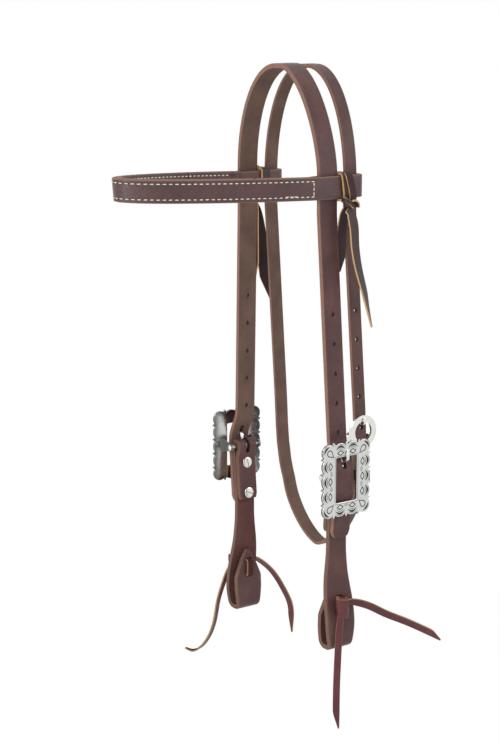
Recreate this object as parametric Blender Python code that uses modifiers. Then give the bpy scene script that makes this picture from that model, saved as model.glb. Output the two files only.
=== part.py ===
"""Western browband headstall, at its real size in metres, +Z up.

The horse faces -Y and its near (left) side is +X. The origin is the middle of the crown strap's
underside, where the headstall rests on the poll. Every strap starts flat, as it is cut, and is
then laid along its route.
"""

import math

import bmesh
import bpy
from mathutils import Matrix, Vector

# Clearances and shop sizes
FIT = 0.0003
CUT_OVERRUN = 0.004
LEATHER_EDGE = 0.0007
METAL_EDGE = 0.0004
JOINED_POINTS = 0.000001

# Crown strap: one strap over the poll, buckled at both ends
CROWN_WIDTH = 0.01905
CROWN_THICK = 0.0044
POLL_FLAT = 0.008
ARCH_HALF = 0.0578
ARCH_RISE = 0.086
NEAR_ARCH_ROUNDNESS = 1.6
FAR_ARCH_ROUNDNESS = 2.0
LEG_STRAIGHT = 0.118
LEG_SPREAD = 0.0101
LEG_LEAN = 0.0045
HOLE_PITCH = 0.0254
HOLE_RADIUS = 0.0021
FREE_HOLES = 5
BILLET_PAST_BAR = 0.053
BILLET_TIP_CUT = 0.006

# Scalloped buckles: a front plate, two side arms and a bar that the cheek folds round
BAR_DROP = 0.342
BAR_OUTSET = 0.0088
BAR_RADIUS = 0.0018
BAR_HEAD_RADIUS = 0.0028
BAR_HEAD_THICK = 0.0012
TONGUE_HOLE_RISE = 0.0125
TONGUE_SLOT = 0.0100
TONGUE_SLOT_WIDTH = 0.0044
STEP_ABOVE_BAR = 0.034
STEP_CLEAR_OF_BAR = 0.005
PLATE_WIDTH = 0.0520
PLATE_HEIGHT = 0.0645
PLATE_THICK = 0.0024
PLATE_GAP = 0.0012
WINDOW_WIDTH = 0.0236
WINDOW_HEIGHT = 0.0396
WINDOW_CORNER_RADIUS = 0.0012
SCALLOP_DEPTH = 0.0030
CORNER_LOBE_WIDTH = 0.0095
SCALLOPS_ACROSS = 2
SCALLOPS_DOWN = 3
ARM_THICK = 0.0020
ARM_OFFSET = 0.0152
ARM_BEHIND_BAR = 0.0037
ARM_ABOVE_BAR = 0.0085
ARM_FOOT_DEPTH = 0.0075
ARM_SINK = 0.0008

# Buckle tongues
TONGUE_WIDTH = 0.0030
TONGUE_THICK = 0.0018
TONGUE_REACH = 0.0260
TONGUE_BEND_RISE = 0.0085
TONGUE_TIP_LENGTH = 0.0075

# Cheek straps, folded round the bar above and into a bit loop below
CHEEK_THICK = 0.0044
CHEEK_OUTSET = 0.0086
CHEEK_SETTLE = 0.050
INNER_PLY = 0.049
LOOP_START = 0.083
LOOP_WIDEST = 0.136
LOOP_END = 0.154
LOOP_BULGE = 0.0067
LOOP_GAP = 0.0080
LOOP_FLAT = 0.0030
FLAP_TIP = 0.0975
FLAP_LEAN = 0.0020
CHEEK_FLARE_START = 0.060
CHEEK_FLARE_END = 0.121
LOOP_HALF_WIDTH = 0.0148
FLAP_HALF_WIDTH = 0.0138
FOOT_HALF_WIDTH = 0.0108
TIP_HALF_WIDTH = 0.0012
FOLD_SLOT_WIDTH = 0.0052
FOLD_SLOT_DROP = 0.0095
LACE_SLOT_UP = 0.1070
LACE_SLOT_LOW = 0.1216
LACE_SLOT_WIDTH = 0.0070
LACE_SLOT_HEIGHT = 0.0032

# Screw posts and screws that close the folds
SCREW_HIGH = 0.0157
SCREW_LOW = 0.0436
POST_HEAD_RADIUS = 0.0046
POST_HEAD_THICK = 0.0010
POST_RADIUS = 0.0024
POST_BORE = 0.0016
SCREW_HEAD_RADIUS = 0.0048
SCREW_HEAD_THICK = 0.0012
SCREW_SHANK = 0.0013
SCREW_SLOT_WIDTH = 0.0010
SCREW_SLOT_DEPTH = 0.0006
RECESS_DEPTH = 0.0014

# Throatlatch: one narrow strap over the poll and under the throat
THROAT_WIDTH = 0.0127
THROAT_THICK = 0.0033
THROAT_INSET = 0.0013
THROAT_RISE = 0.095
THROAT_BACK = 0.0252
THROAT_SWEEP = 0.0163
THROAT_SWEEP_END = 0.335
THROAT_CURVE_START = 0.3575
THROAT_DROP = 0.4255
THROAT_FAR_OUTSET = 0.0010
THROAT_ROUNDNESS = 1.55
THROAT_BAR_DROP = 0.3170
THROAT_BAR_INSET = 0.0093
THROAT_BAR_RADIUS = 0.0016
THROAT_HOLE_RISE = 0.0125
THROAT_SLOT = 0.0100
THROAT_STEP_ABOVE = 0.0290
THROAT_STEP_CLEAR = 0.0040
THROAT_BILLET_END = 0.385
THROAT_INNER_PLY = 0.0270
THROAT_TIP_CUT = 0.0040
THROAT_SCREW = 0.0165
THROAT_FREE_HOLES = 4
SMALL_POST_HEAD = 0.0038
SMALL_SCREW_HEAD = 0.0039

# Throatlatch buckle: a plain horseshoe with a heel bar
SHOE_RADIUS = 0.0146
SHOE_INNER = 0.0092
SHOE_THICK = 0.0022
SHOE_CENTRE_RISE = 0.0070
SHOE_GAP = 0.0006
SHOE_LEG = 0.0112
SHOE_ARM_HEIGHT = 0.0075
THROAT_TONGUE_WIDTH = 0.0026
THROAT_TONGUE_REACH = 0.0200
THROAT_TONGUE_BEND = 0.0087
THROAT_TONGUE_TIP = 0.0045

# Keeper loop on the throatlatch
KEEPER_DROP = 0.0345
KEEPER_WIDTH = 0.0100
KEEPER_THICK = 0.0020
KEEPER_SLACK = 0.0006
KEEPER_CORNER = 0.0018

# Browband: an outer strap with its ends turned back round the straps, and a liner between the ends
BROW_WIDTH = 0.01905
BROW_THICK = 0.0034
BROW_DROP = 0.0958
BROW_FAR_SAG = 0.0045
BROW_RISE = 0.0040
BROW_REACH = 0.1705
BROW_SIDE_HANDLE = 0.030
BROW_FRONT_HANDLE = 0.036
BROW_LEAN = math.radians(4)
BROW_SETTLE = 0.0115
BROW_RETURN = 0.064
BROW_SLACK = 0.0007
FOLD_PAST_THROAT = 0.0016

# Thongs that tie the browband between the two straps
TIE_WIDTH = 0.0088
TIE_THICK = 0.0022
TIE_CORNER = 0.0020
TIE_KNOT_WIDTH = 0.0090
TIE_KNOT_DEPTH = 0.0080
TIE_KNOT_HEIGHT = 0.0080
TIE_KNOT_SINK = 0.0016
TIE_TAIL_WIDTH = 0.0105
KNOT_WIDTH_SHARE = 0.60
DRAWN_IN_SHARE = 0.15
TIP_WIDTH_SHARE = 0.20
TIP_SHARE = 0.12

# Laces that close the bit loops
LACE_WIDTH = 0.0058
LACE_THICK = 0.0022
LACE_CORNER = 0.0018
LACE_KNOT_WIDTH = 0.0130
LACE_KNOT_DEPTH = 0.0075
LACE_KNOT_HEIGHT = 0.0170
LACE_KNOT_STANDOFF = 0.0006

# Where the free ends of the thongs and laces lie, as points chosen along each one, with the
# direction of the flat lace's width at its start and at its end
NEAR_TIE_LONG = (
    (0.0670, 0.0112, -0.1136),
    (0.0678, 0.0110, -0.1165),
    (0.0722, 0.0108, -0.1300),
    (0.0726, 0.0150, -0.1560),
    (0.0722, 0.0205, -0.1750),
    (0.0722, 0.0270, -0.1920),
    (0.0722, 0.0370, -0.2150),
)
NEAR_TIE_LONG_WIDTH = ((0.80, -0.60, 0.0), (0.95, -0.31, 0.0))
NEAR_TIE_SHORT = (
    (0.0625, 0.0163, -0.1135),
    (0.0620, 0.0164, -0.1170),
    (0.0606, 0.0160, -0.1300),
    (0.0602, 0.0146, -0.1480),
    (0.0598, 0.0136, -0.1680),
)
NEAR_TIE_SHORT_WIDTH = ((1.0, 0.0, 0.0), (1.0, 0.0, 0.0))
FAR_TIE_LONG = (
    (-0.0672, 0.0140, -0.1181),
    (-0.0674, 0.0146, -0.1222),
    (-0.0686, 0.0185, -0.1340),
    (-0.0685, 0.0240, -0.1520),
    (-0.0682, 0.0275, -0.1780),
    (-0.0680, 0.0330, -0.2140),
)
FAR_TIE_LONG_WIDTH = ((0.10, -0.99, 0.0), (0.30, -0.95, 0.0))
FAR_TIE_SHORT = (
    (-0.0618, 0.0140, -0.1180),
    (-0.0616, 0.0140, -0.1217),
    (-0.0604, 0.0142, -0.1340),
    (-0.0600, 0.0141, -0.1570),
    (-0.0598, 0.0140, -0.1920),
)
FAR_TIE_SHORT_WIDTH = ((-1.0, 0.0, 0.0), (-1.0, 0.0, 0.0))
NEAR_LACE_OUT = (
    (0.0790, 0.0117, -0.4520),
    (0.0794, 0.0155, -0.4524),
    (0.0832, 0.0280, -0.4562),
    (0.0875, 0.0450, -0.4655),
    (0.0920, 0.0640, -0.4760),
    (0.0965, 0.0830, -0.4880),
    (0.0990, 0.1010, -0.5000),
)
NEAR_LACE_OUT_WIDTH = ((0.25, -0.20, 0.94), (0.60, 0.10, 0.79))
NEAR_LACE_DOWN = (
    (0.0790, 0.0010, -0.4652),
    (0.0790, -0.0005, -0.4850),
    (0.0790, -0.0020, -0.5100),
    (0.0790, -0.0030, -0.5350),
    (0.0790, -0.0032, -0.5680),
)
NEAR_LACE_DOWN_WIDTH = ((0.60, 0.80, 0.0), (0.60, 0.80, 0.0))
FAR_LACE_REAR = (
    (-0.0790, 0.0114, -0.4520),
    (-0.0792, 0.0145, -0.4524),
    (-0.0796, 0.0250, -0.4548),
    (-0.0800, 0.0360, -0.4620),
    (-0.0800, 0.0480, -0.4750),
    (-0.0800, 0.0600, -0.4930),
    (-0.0800, 0.0695, -0.5130),
    (-0.0800, 0.0698, -0.5390),
)
FAR_LACE_REAR_WIDTH = ((0.70, 0.30, 0.64), (0.70, 0.60, 0.38))
FAR_LACE_FRONT = (
    (-0.0790, -0.0032, -0.4575),
    (-0.0791, -0.0068, -0.4582),
    (-0.0800, -0.0122, -0.4690),
    (-0.0800, -0.0165, -0.4890),
    (-0.0800, -0.0200, -0.5090),
    (-0.0800, -0.0260, -0.5220),
    (-0.0800, -0.0350, -0.5305),
    (-0.0800, -0.0450, -0.5325),
    (-0.0800, -0.0530, -0.5290),
)
FAR_LACE_FRONT_WIDTH = ((0.75, -0.60, 0.28), (0.90, 0.10, 0.42))

# Finer or coarser curves
ARC_STEPS = 6
ARCH_STEPS = 12
EASE_STEPS = 7
BROW_STEPS = 20
ROUND_SIDES = 20
SHOE_STEPS = 12
SCALLOP_STEPS = 6
TAIL_STEPS = 16

# Sizes worked out from the ones above
BAR_X = ARCH_HALF + BAR_OUTSET
BAR_Z = -BAR_DROP
CHEEK_X = ARCH_HALF + CHEEK_OUTSET
THROAT_HALF = ARCH_HALF - THROAT_INSET
THROAT_FAR_HALF = THROAT_HALF + THROAT_FAR_OUTSET
THROAT_BAR_X = THROAT_HALF - THROAT_BAR_INSET
FOLD_RADIUS = BAR_RADIUS + FIT + CHEEK_THICK / 2
INNER_SETTLE = SCREW_HIGH - SCREW_HEAD_RADIUS - 2 * FIT
THROAT_BAR_Z = -THROAT_BAR_DROP
THROAT_FOLD_RADIUS = THROAT_BAR_RADIUS + FIT + THROAT_THICK / 2
SWEEP_END_PAST_BAR = THROAT_SWEEP_END - THROAT_BAR_DROP
THROAT_SETTLE = THROAT_SCREW - SMALL_SCREW_HEAD - 2 * FIT
LOOP_RADIUS = (LOOP_GAP + CHEEK_THICK - LOOP_FLAT) / 2
LOOP_CENTRE_X = CHEEK_X + LOOP_BULGE - LOOP_RADIUS - LOOP_FLAT / 2
FLAP_X = LOOP_CENTRE_X - LOOP_RADIUS - LOOP_FLAT / 2
LOOP_ARC_Z = BAR_Z - LOOP_END + CHEEK_THICK / 2 + LOOP_RADIUS
CROWN_INSIDE = ARCH_HALF - CROWN_THICK
THROAT_INSIDE = THROAT_HALF - THROAT_THICK
BROW_OUTER_X = ARCH_HALF + FIT + BROW_THICK / 2
BROW_INNER_X = THROAT_INSIDE - BROW_SLACK - BROW_THICK / 2
BROW_PLY = BROW_THICK + FIT
BROW_START = -CROWN_WIDTH / 2 - FIT
TIE_Y = (CROWN_WIDTH / 2 + THROAT_BACK - THROAT_WIDTH / 2) / 2


def ease(share):
    """Smooth step from 0 to 1."""
    share = min(max(share, 0.0), 1.0)
    return share * share * (3 - 2 * share)


def ramp(value, start, end):
    """0 at start, 1 at end, straight between them."""
    return min(max((value - start) / (end - start), 0.0), 1.0)


def between(start, end, count):
    """Evenly spaced values, with both ends."""
    return [start + (end - start) * i / count for i in range(count + 1)]


# Places that several pieces share, for the near side


def cheek_x(z):
    """Middle of the cheek's outer ply at a height."""
    at_bar = BAR_X + FOLD_RADIUS
    settled = at_bar + (CHEEK_X - at_bar) * ramp(-z, BAR_DROP, BAR_DROP + CHEEK_SETTLE)
    return settled + LOOP_BULGE * ease(
        ramp(-z, BAR_DROP + LOOP_START, BAR_DROP + LOOP_WIDEST)
    )


def cheek_slope():
    """How far the cheek's outer ply comes in for each metre it goes down, below the bar."""
    return (BAR_X + FOLD_RADIUS - CHEEK_X) / CHEEK_SETTLE


def across_slope(size):
    """A size square to the sloping ply, measured level."""
    return size * math.hypot(1, cheek_slope())


def inner_ply_x(z):
    """Middle of the short ply turned down behind the bar."""
    touching = cheek_x(z) - across_slope(CHEEK_THICK + FIT)
    at_bar = BAR_X - FOLD_RADIUS
    share = ramp(-z, BAR_DROP, BAR_DROP + INNER_SETTLE)
    return at_bar + (touching - at_bar) * share


def flap_x(z):
    """Middle of the pointed flap that closes the bit loop."""
    return FLAP_X + FLAP_LEAN * ease(
        ramp(z, LOOP_ARC_Z, BAR_Z - FLAP_TIP)
    )


def crown_inside_x(z):
    """Inner face of the crown strap's leg at a height."""
    step_top = BAR_Z + STEP_ABOVE_BAR
    step_low = BAR_Z + STEP_CLEAR_OF_BAR
    leg = CROWN_INSIDE + LEG_SPREAD * ramp(-z, LEG_STRAIGHT, -step_top)
    over_fold = cheek_x(min(z, BAR_Z)) + across_slope(CHEEK_THICK / 2 + FIT)
    share = ease(ramp(-z, -step_top, -step_low))
    return leg + (over_fold - leg) * share


def crown_y(z):
    return LEG_LEAN * ramp(-z, LEG_STRAIGHT, BAR_DROP - STEP_ABOVE_BAR)


def throat_y(z):
    return THROAT_BACK + THROAT_SWEEP * ramp(-z, LEG_STRAIGHT, THROAT_SWEEP_END)


def throat_loop_x(z, top=THROAT_BAR_X + THROAT_FOLD_RADIUS):
    """Middle of the strap round the underside of the throat, at a height, on the near side."""
    low = THROAT_DROP - THROAT_THICK / 2
    down = ramp(-z, THROAT_CURVE_START, low)
    return top * max(1 - down**THROAT_ROUNDNESS, 0.0) ** (1 / THROAT_ROUNDNESS)


def throat_loop_angles():
    return between(0.0, math.pi / 2, 9)


def throat_loop_z(angle):
    """Height on the curve under the throat, 0 at its start and a quarter turn at its bottom."""
    low = THROAT_DROP - THROAT_THICK / 2
    return -THROAT_CURVE_START - (low - THROAT_CURVE_START) * math.sin(angle)


def throat_over_loop(z):
    """Middle of the billet where it follows the outer side of the curve, as (x, z)."""
    step = THROAT_THICK / 8
    above, below = throat_loop_x(z + step), throat_loop_x(z - step)
    outward = Vector((2 * step, above - below)).normalized()
    outward.y = -outward.y
    off = THROAT_THICK + FIT
    return throat_loop_x(z) + outward.x * off, z + outward.y * off


# Tools


def clear_scene():
    for obj in list(bpy.data.objects):
        bpy.data.objects.remove(obj, do_unlink=True)


def new_collection(name):
    collection = bpy.data.collections.new(name)
    bpy.context.scene.collection.children.link(collection)
    return collection


def material(name, colour, roughness, metallic=0.0):
    made = bpy.data.materials.new(name)
    made.use_nodes = True
    shader = made.node_tree.nodes["Principled BSDF"]
    shader.inputs["Base Color"].default_value = (*colour, 1)
    shader.inputs["Roughness"].default_value = roughness
    shader.inputs["Metallic"].default_value = metallic
    return made


def add_object(name, mesh, finish, collection):
    obj = bpy.data.objects.new(name, mesh)
    if finish:
        mesh.materials.append(finish)
    collection.objects.link(obj)
    return obj


def from_bmesh(name, shape, finish, collection):
    mesh = bpy.data.meshes.new(name)
    shape.to_mesh(mesh)
    shape.free()
    return add_object(name, mesh, finish, collection)


def add_bevel(obj, width, segments=1, angle=50):
    bevel = obj.modifiers.new("edge", "BEVEL")
    bevel.width = width
    bevel.segments = segments
    bevel.limit_method = "ANGLE"
    bevel.angle_limit = math.radians(angle)


def add_boolean(obj, other, operation="DIFFERENCE"):
    boolean = obj.modifiers.new(operation.lower(), "BOOLEAN")
    boolean.operation = operation
    boolean.object = other
    boolean.solver = "EXACT"


def strip(name, stations, thickness, finish, collection, offset=0.0, edge=LEATHER_EDGE, closed=False):
    """A flat strap laid along its stations, each (middle, width direction, half width)."""
    steps = len(stations) if closed else len(stations) - 1
    shape = bmesh.new()
    bmesh.ops.create_grid(shape, x_segments=steps, y_segments=1, size=0.5)
    for vert in shape.verts:
        station = round((vert.co.x + 0.5) * steps) % len(stations)
        middle, across, half = stations[station]
        vert.co = Vector(middle) + Vector(across).normalized() * math.copysign(half, vert.co.y)
    if closed:
        bmesh.ops.remove_doubles(shape, verts=shape.verts, dist=JOINED_POINTS)
    obj = from_bmesh(name, shape, finish, collection)
    solid = obj.modifiers.new("leather", "SOLIDIFY")
    solid.thickness = thickness
    solid.offset = offset
    solid.use_even_offset = True
    solid.use_quality_normals = True
    if edge:
        add_bevel(obj, edge)
    return obj


def add_block(shape, centre, size):
    """A box in a bmesh, by its middle and its three sizes."""
    place = Matrix.Translation(centre) @ Matrix.Diagonal((*size, 1))
    bmesh.ops.create_cube(shape, size=1, matrix=place)


def add_rod(shape, centre, direction, radius, length, sides=ROUND_SIDES):
    """A closed cylinder in a bmesh, by its middle and its axis."""
    turn = Vector(direction).to_track_quat("Z", "Y").to_matrix().to_4x4()
    bmesh.ops.create_cone(
        shape, cap_ends=True, segments=sides, radius1=radius, radius2=radius, depth=length,
        matrix=Matrix.Translation(centre) @ turn,
    )


def as_cutter(obj):
    obj.hide_render = True
    obj.display_type = "WIRE"
    return obj


def outline_plate(name, outline, holes, thickness, collection):
    """A flat closed outline, with holes, as a filled curve made into a mesh. It lies in XY."""
    curve = bpy.data.curves.new(name, "CURVE")
    curve.dimensions = "2D"
    curve.fill_mode = "BOTH"
    curve.extrude = thickness / 2
    for loop in [outline, *holes]:
        spline = curve.splines.new("POLY")
        spline.points.add(len(loop) - 1)
        for point, (x, y) in zip(spline.points, loop):
            point.co = (x, y, 0, 1)
        spline.use_cyclic_u = True
    flat = bpy.data.objects.new(name, curve)
    collection.objects.link(flat)
    graph = bpy.context.evaluated_depsgraph_get()
    mesh = bpy.data.meshes.new_from_object(flat.evaluated_get(graph))
    bpy.data.objects.remove(flat)
    bpy.data.curves.remove(curve)
    shape = bmesh.new()
    shape.from_mesh(mesh)
    bmesh.ops.remove_doubles(shape, verts=shape.verts, dist=JOINED_POINTS)
    bmesh.ops.recalc_face_normals(shape, faces=shape.faces)
    shape.to_mesh(mesh)
    shape.free()
    obj = bpy.data.objects.new(name, mesh)
    collection.objects.link(obj)
    return obj


def lathe(name, profile, finish, collection, steps=ROUND_SIDES):
    """A turned piece round Z, from (radius, height) points that run down its outer side."""
    shape = bmesh.new()
    verts = [shape.verts.new((radius, 0, height)) for radius, height in profile]
    for start, end in zip(verts, verts[1:]):
        shape.edges.new((start, end))
    obj = from_bmesh(name, shape, finish, collection)
    screw = obj.modifiers.new("turned", "SCREW")
    screw.steps = steps
    screw.render_steps = steps
    screw.use_merge_vertices = True
    screw.merge_threshold = JOINED_POINTS
    return obj


def smooth_points(points, steps):
    """Evenly read points of one smooth curve through the given points."""
    points = [Vector(point) for point in points]
    padded = [2 * points[0] - points[1], *points, 2 * points[-1] - points[-2]]
    fine = []
    for before, start, end, after in zip(padded, padded[1:], padded[2:], padded[3:]):
        for i in range(steps):
            t = i / steps
            fine.append(
                0.5 * ((2 * start) + (end - before) * t
                       + (2 * before - 5 * start + 4 * end - after) * t**2
                       + (3 * start - before - 3 * end + after) * t**3)
            )
    fine.append(points[-1])
    runs = [0.0]
    for start, end in zip(fine, fine[1:]):
        runs.append(runs[-1] + (end - start).length)
    read = []
    for goal in between(0.0, runs[-1], steps):
        after = next((i for i, run in enumerate(runs) if run >= goal), len(runs) - 1)
        before = max(after - 1, 0)
        span = runs[after] - runs[before]
        share = (goal - runs[before]) / span if span else 0.0
        read.append(fine[before].lerp(fine[after], share))
    return read


# Crown strap and throatlatch


def arch_side(inside, rise, roundness):
    """One side of the arch over the poll, from its foot to the flat at the top, as (x, z)."""
    half = inside - POLL_FLAT / 2
    places = []
    for angle in between(0.0, math.pi / 2, ARCH_STEPS):
        out = max(math.cos(angle), 0.0) ** (2 / roundness)
        up = math.sin(angle) ** (2 / roundness)
        places.append((POLL_FLAT / 2 + half * out, -rise * (1 - up)))
    return places


def arch_stations(inside, rise, roundness, back, width):
    """The arch over the poll, from the near foot to the far foot, on the strap's underside."""
    near_round, far_round = roundness
    near = [((x, back, z), (0, -1, 0), width / 2) for x, z in arch_side(inside, rise, near_round)]
    far = [((-x, back, z), (0, -1, 0), width / 2) for x, z in arch_side(inside, rise, far_round)]
    return near + far[::-1]


def crown_leg(side):
    """The crown strap's inner face from its tip up to the foot of the arch."""
    step_top = BAR_Z + STEP_ABOVE_BAR
    tip = BAR_Z - BILLET_PAST_BAR
    heights = [tip, tip + BILLET_TIP_CUT, BAR_Z - CHEEK_SETTLE / 2, BAR_Z]
    heights += between(BAR_Z + STEP_CLEAR_OF_BAR, step_top, EASE_STEPS)
    heights += between(step_top, -LEG_STRAIGHT, 4)[1:]
    stations = []
    for z in heights:
        half = CROWN_WIDTH / 2 - (BILLET_TIP_CUT / 2 if z == tip else 0.0)
        stations.append(((side * crown_inside_x(z), crown_y(z), z), (0, -1, 0), half))
    return stations


def make_crown(leather, parts, cutters):
    near = crown_leg(1)
    far = crown_leg(-1)
    roundness = (NEAR_ARCH_ROUNDNESS, FAR_ARCH_ROUNDNESS)
    arch = arch_stations(CROWN_INSIDE, ARCH_RISE, roundness, 0.0, CROWN_WIDTH)
    crown = strip("crown_strap", near + arch + far[::-1], CROWN_THICK, leather, parts, offset=1.0)
    shape = bmesh.new()
    span = 2 * (BAR_X + PLATE_WIDTH)
    hole_z = BAR_Z + TONGUE_HOLE_RISE
    for k in range(1, FREE_HOLES + 1):
        z = hole_z + k * HOLE_PITCH
        add_rod(shape, (0, crown_y(z), z), (1, 0, 0), HOLE_RADIUS, span, sides=12)
    add_block(shape, (0, crown_y(hole_z), hole_z), (span, TONGUE_SLOT_WIDTH, TONGUE_SLOT))
    add_boolean(crown, as_cutter(from_bmesh("crown_punches", shape, None, cutters)))


def throat_billet_x(z):
    """Inner face of the throatlatch's billet at a height."""
    step_top = THROAT_BAR_Z + THROAT_STEP_ABOVE
    step_low = THROAT_BAR_Z + THROAT_STEP_CLEAR
    over_fold = throat_loop_x(min(z, THROAT_BAR_Z)) + THROAT_THICK / 2 + FIT
    share = ease(ramp(-z, -step_top, -step_low))
    return THROAT_INSIDE + (over_fold - THROAT_INSIDE) * share


def throat_fold():
    """Half circle of the strap's end round the buckle's bar, from the front to the back."""
    stations = []
    for angle in between(0.0, math.pi, ARC_STEPS):
        x = THROAT_BAR_X + THROAT_FOLD_RADIUS * math.cos(angle)
        z = THROAT_BAR_Z + THROAT_FOLD_RADIUS * math.sin(angle)
        stations.append(((x, throat_y(THROAT_BAR_Z), z), (0, -1, 0), THROAT_WIDTH / 2))
    return stations


def make_throatlatch(leather, parts, cutters):
    half = THROAT_WIDTH / 2
    middle = THROAT_THICK / 2
    step_top = THROAT_BAR_Z + THROAT_STEP_ABOVE
    stations = []
    cut = THROAT_BILLET_END - THROAT_TIP_CUT
    follows = [throat_loop_z(angle) for angle in throat_loop_angles()]
    follows = [z for z in follows if z < -THROAT_CURVE_START - THROAT_TIP_CUT and z > -cut]
    for z in [-THROAT_BILLET_END, -cut, *follows[::-1]]:
        narrow = THROAT_TIP_CUT / 2 if z == -THROAT_BILLET_END else 0.0
        x, z_over = throat_over_loop(z)
        stations.append(((x, throat_y(z), z_over), (0, -1, 0), half - narrow))
    heights = [-THROAT_CURVE_START, -THROAT_SWEEP_END, THROAT_BAR_Z]
    heights += between(THROAT_BAR_Z + THROAT_STEP_CLEAR, step_top, EASE_STEPS)
    heights += between(step_top, -LEG_STRAIGHT, 3)[1:]
    for z in heights:
        stations.append(((throat_billet_x(z) + middle, throat_y(z), z), (0, -1, 0), half))
    roundness = (FAR_ARCH_ROUNDNESS, FAR_ARCH_ROUNDNESS)
    arch = arch_stations(THROAT_INSIDE, THROAT_RISE, roundness, THROAT_BACK, THROAT_WIDTH)
    for (x, y, z), across, wide in arch:
        outward = Vector((x / THROAT_INSIDE**2, 0, (z + THROAT_RISE) / THROAT_RISE**2)).normalized()
        stations.append((Vector((x, y, z)) + outward * middle, across, wide))
    for z in between(-LEG_STRAIGHT, -THROAT_CURVE_START, 5):
        inner = THROAT_INSIDE + middle
        x = inner + (THROAT_FAR_HALF - inner) * ramp(-z, LEG_STRAIGHT, THROAT_CURVE_START)
        stations.append(((-x, throat_y(z), z), (0, -1, 0), half))
    curve = [throat_loop_z(angle) for angle in throat_loop_angles()][1:]
    for z in curve:
        stations.append(((-throat_loop_x(z, THROAT_FAR_HALF), throat_y(z), z), (0, -1, 0), half))
    for z in [*curve[-2::-1], -THROAT_CURVE_START, -THROAT_SWEEP_END]:
        stations.append(((throat_loop_x(z), throat_y(z), z), (0, -1, 0), half))
    stations += throat_fold()
    back = THROAT_BAR_X - THROAT_FOLD_RADIUS
    lap = throat_loop_x(THROAT_BAR_Z) - THROAT_THICK - FIT
    for drop, x in (
        (THROAT_SETTLE / 2, (back + lap) / 2), (THROAT_SETTLE, lap),
        (SWEEP_END_PAST_BAR, lap), (THROAT_INNER_PLY, lap),
    ):
        z = THROAT_BAR_Z - drop
        stations.append(((x, throat_y(z), z), (0, -1, 0), half))
    strap = strip("throatlatch_strap", stations, THROAT_THICK, leather, parts)

    shape = bmesh.new()
    hole_z = THROAT_BAR_Z + THROAT_HOLE_RISE
    reach = THROAT_HALF
    for k in range(1, THROAT_FREE_HOLES + 1):
        z = hole_z + k * HOLE_PITCH
        add_rod(shape, (THROAT_HALF, throat_y(z), z), (1, 0, 0), HOLE_RADIUS, reach, sides=12)
    slot_x = THROAT_BAR_X + THROAT_FOLD_RADIUS + THROAT_THICK
    add_block(
        shape, (slot_x, throat_y(THROAT_BAR_Z), hole_z),
        (2 * THROAT_THICK, TONGUE_SLOT_WIDTH, THROAT_SLOT),
    )
    fold_top = THROAT_BAR_Z + THROAT_FOLD_RADIUS + THROAT_THICK / 2 + FIT / 2
    fold_low = THROAT_BAR_Z - THROAT_SCREW / 3
    front = THROAT_BAR_X + THROAT_FOLD_RADIUS + THROAT_THICK / 2 + FIT / 2
    behind = THROAT_BAR_X - THROAT_FOLD_RADIUS - THROAT_THICK
    add_block(
        shape,
        ((front + behind) / 2, throat_y(THROAT_BAR_Z), (fold_top + fold_low) / 2),
        (front - behind, TONGUE_SLOT_WIDTH, fold_top - fold_low),
    )
    screw_z = THROAT_BAR_Z - THROAT_SCREW
    outer_face = throat_loop_x(screw_z) + THROAT_THICK / 2
    length = 2 * THROAT_THICK + 4 * FIT
    add_rod(
        shape, (outer_face - THROAT_THICK - FIT / 2, throat_y(screw_z), screw_z), (1, 0, 0),
        POST_RADIUS + FIT, length, sides=12,
    )
    add_boolean(strap, as_cutter(from_bmesh("throatlatch_punches", shape, None, cutters)))
    recess = RECESS_DEPTH + FIT / 2
    shape = bmesh.new()
    add_rod(
        shape, (outer_face + FIT / 2 - recess / 2, throat_y(screw_z), screw_z), (1, 0, 0),
        SMALL_POST_HEAD + FIT, recess,
    )
    add_boolean(strap, as_cutter(from_bmesh("throatlatch_recess", shape, None, cutters)))


# Cheek straps


def cheek_half_width(z, flap):
    """Half the cheek's width at a height, on the outer side or on the turned-up flap."""
    drop = -z - BAR_DROP
    if flap:
        if drop <= LOOP_WIDEST - (LOOP_WIDEST - FLAP_TIP) / 3:
            share = ramp(drop, FLAP_TIP, LOOP_WIDEST - (LOOP_WIDEST - FLAP_TIP) / 3)
            return TIP_HALF_WIDTH + (FLAP_HALF_WIDTH - TIP_HALF_WIDTH) * share**0.55
        widest = FLAP_HALF_WIDTH
    else:
        flare = ease(ramp(drop, CHEEK_FLARE_START, CHEEK_FLARE_END))
        widest = CROWN_WIDTH / 2 + (LOOP_HALF_WIDTH - CROWN_WIDTH / 2) * flare
    share = ramp(drop, CHEEK_FLARE_END + (LOOP_END - CHEEK_FLARE_END) / 4, LOOP_END)
    return widest + (FOOT_HALF_WIDTH - widest) * share**2


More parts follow.
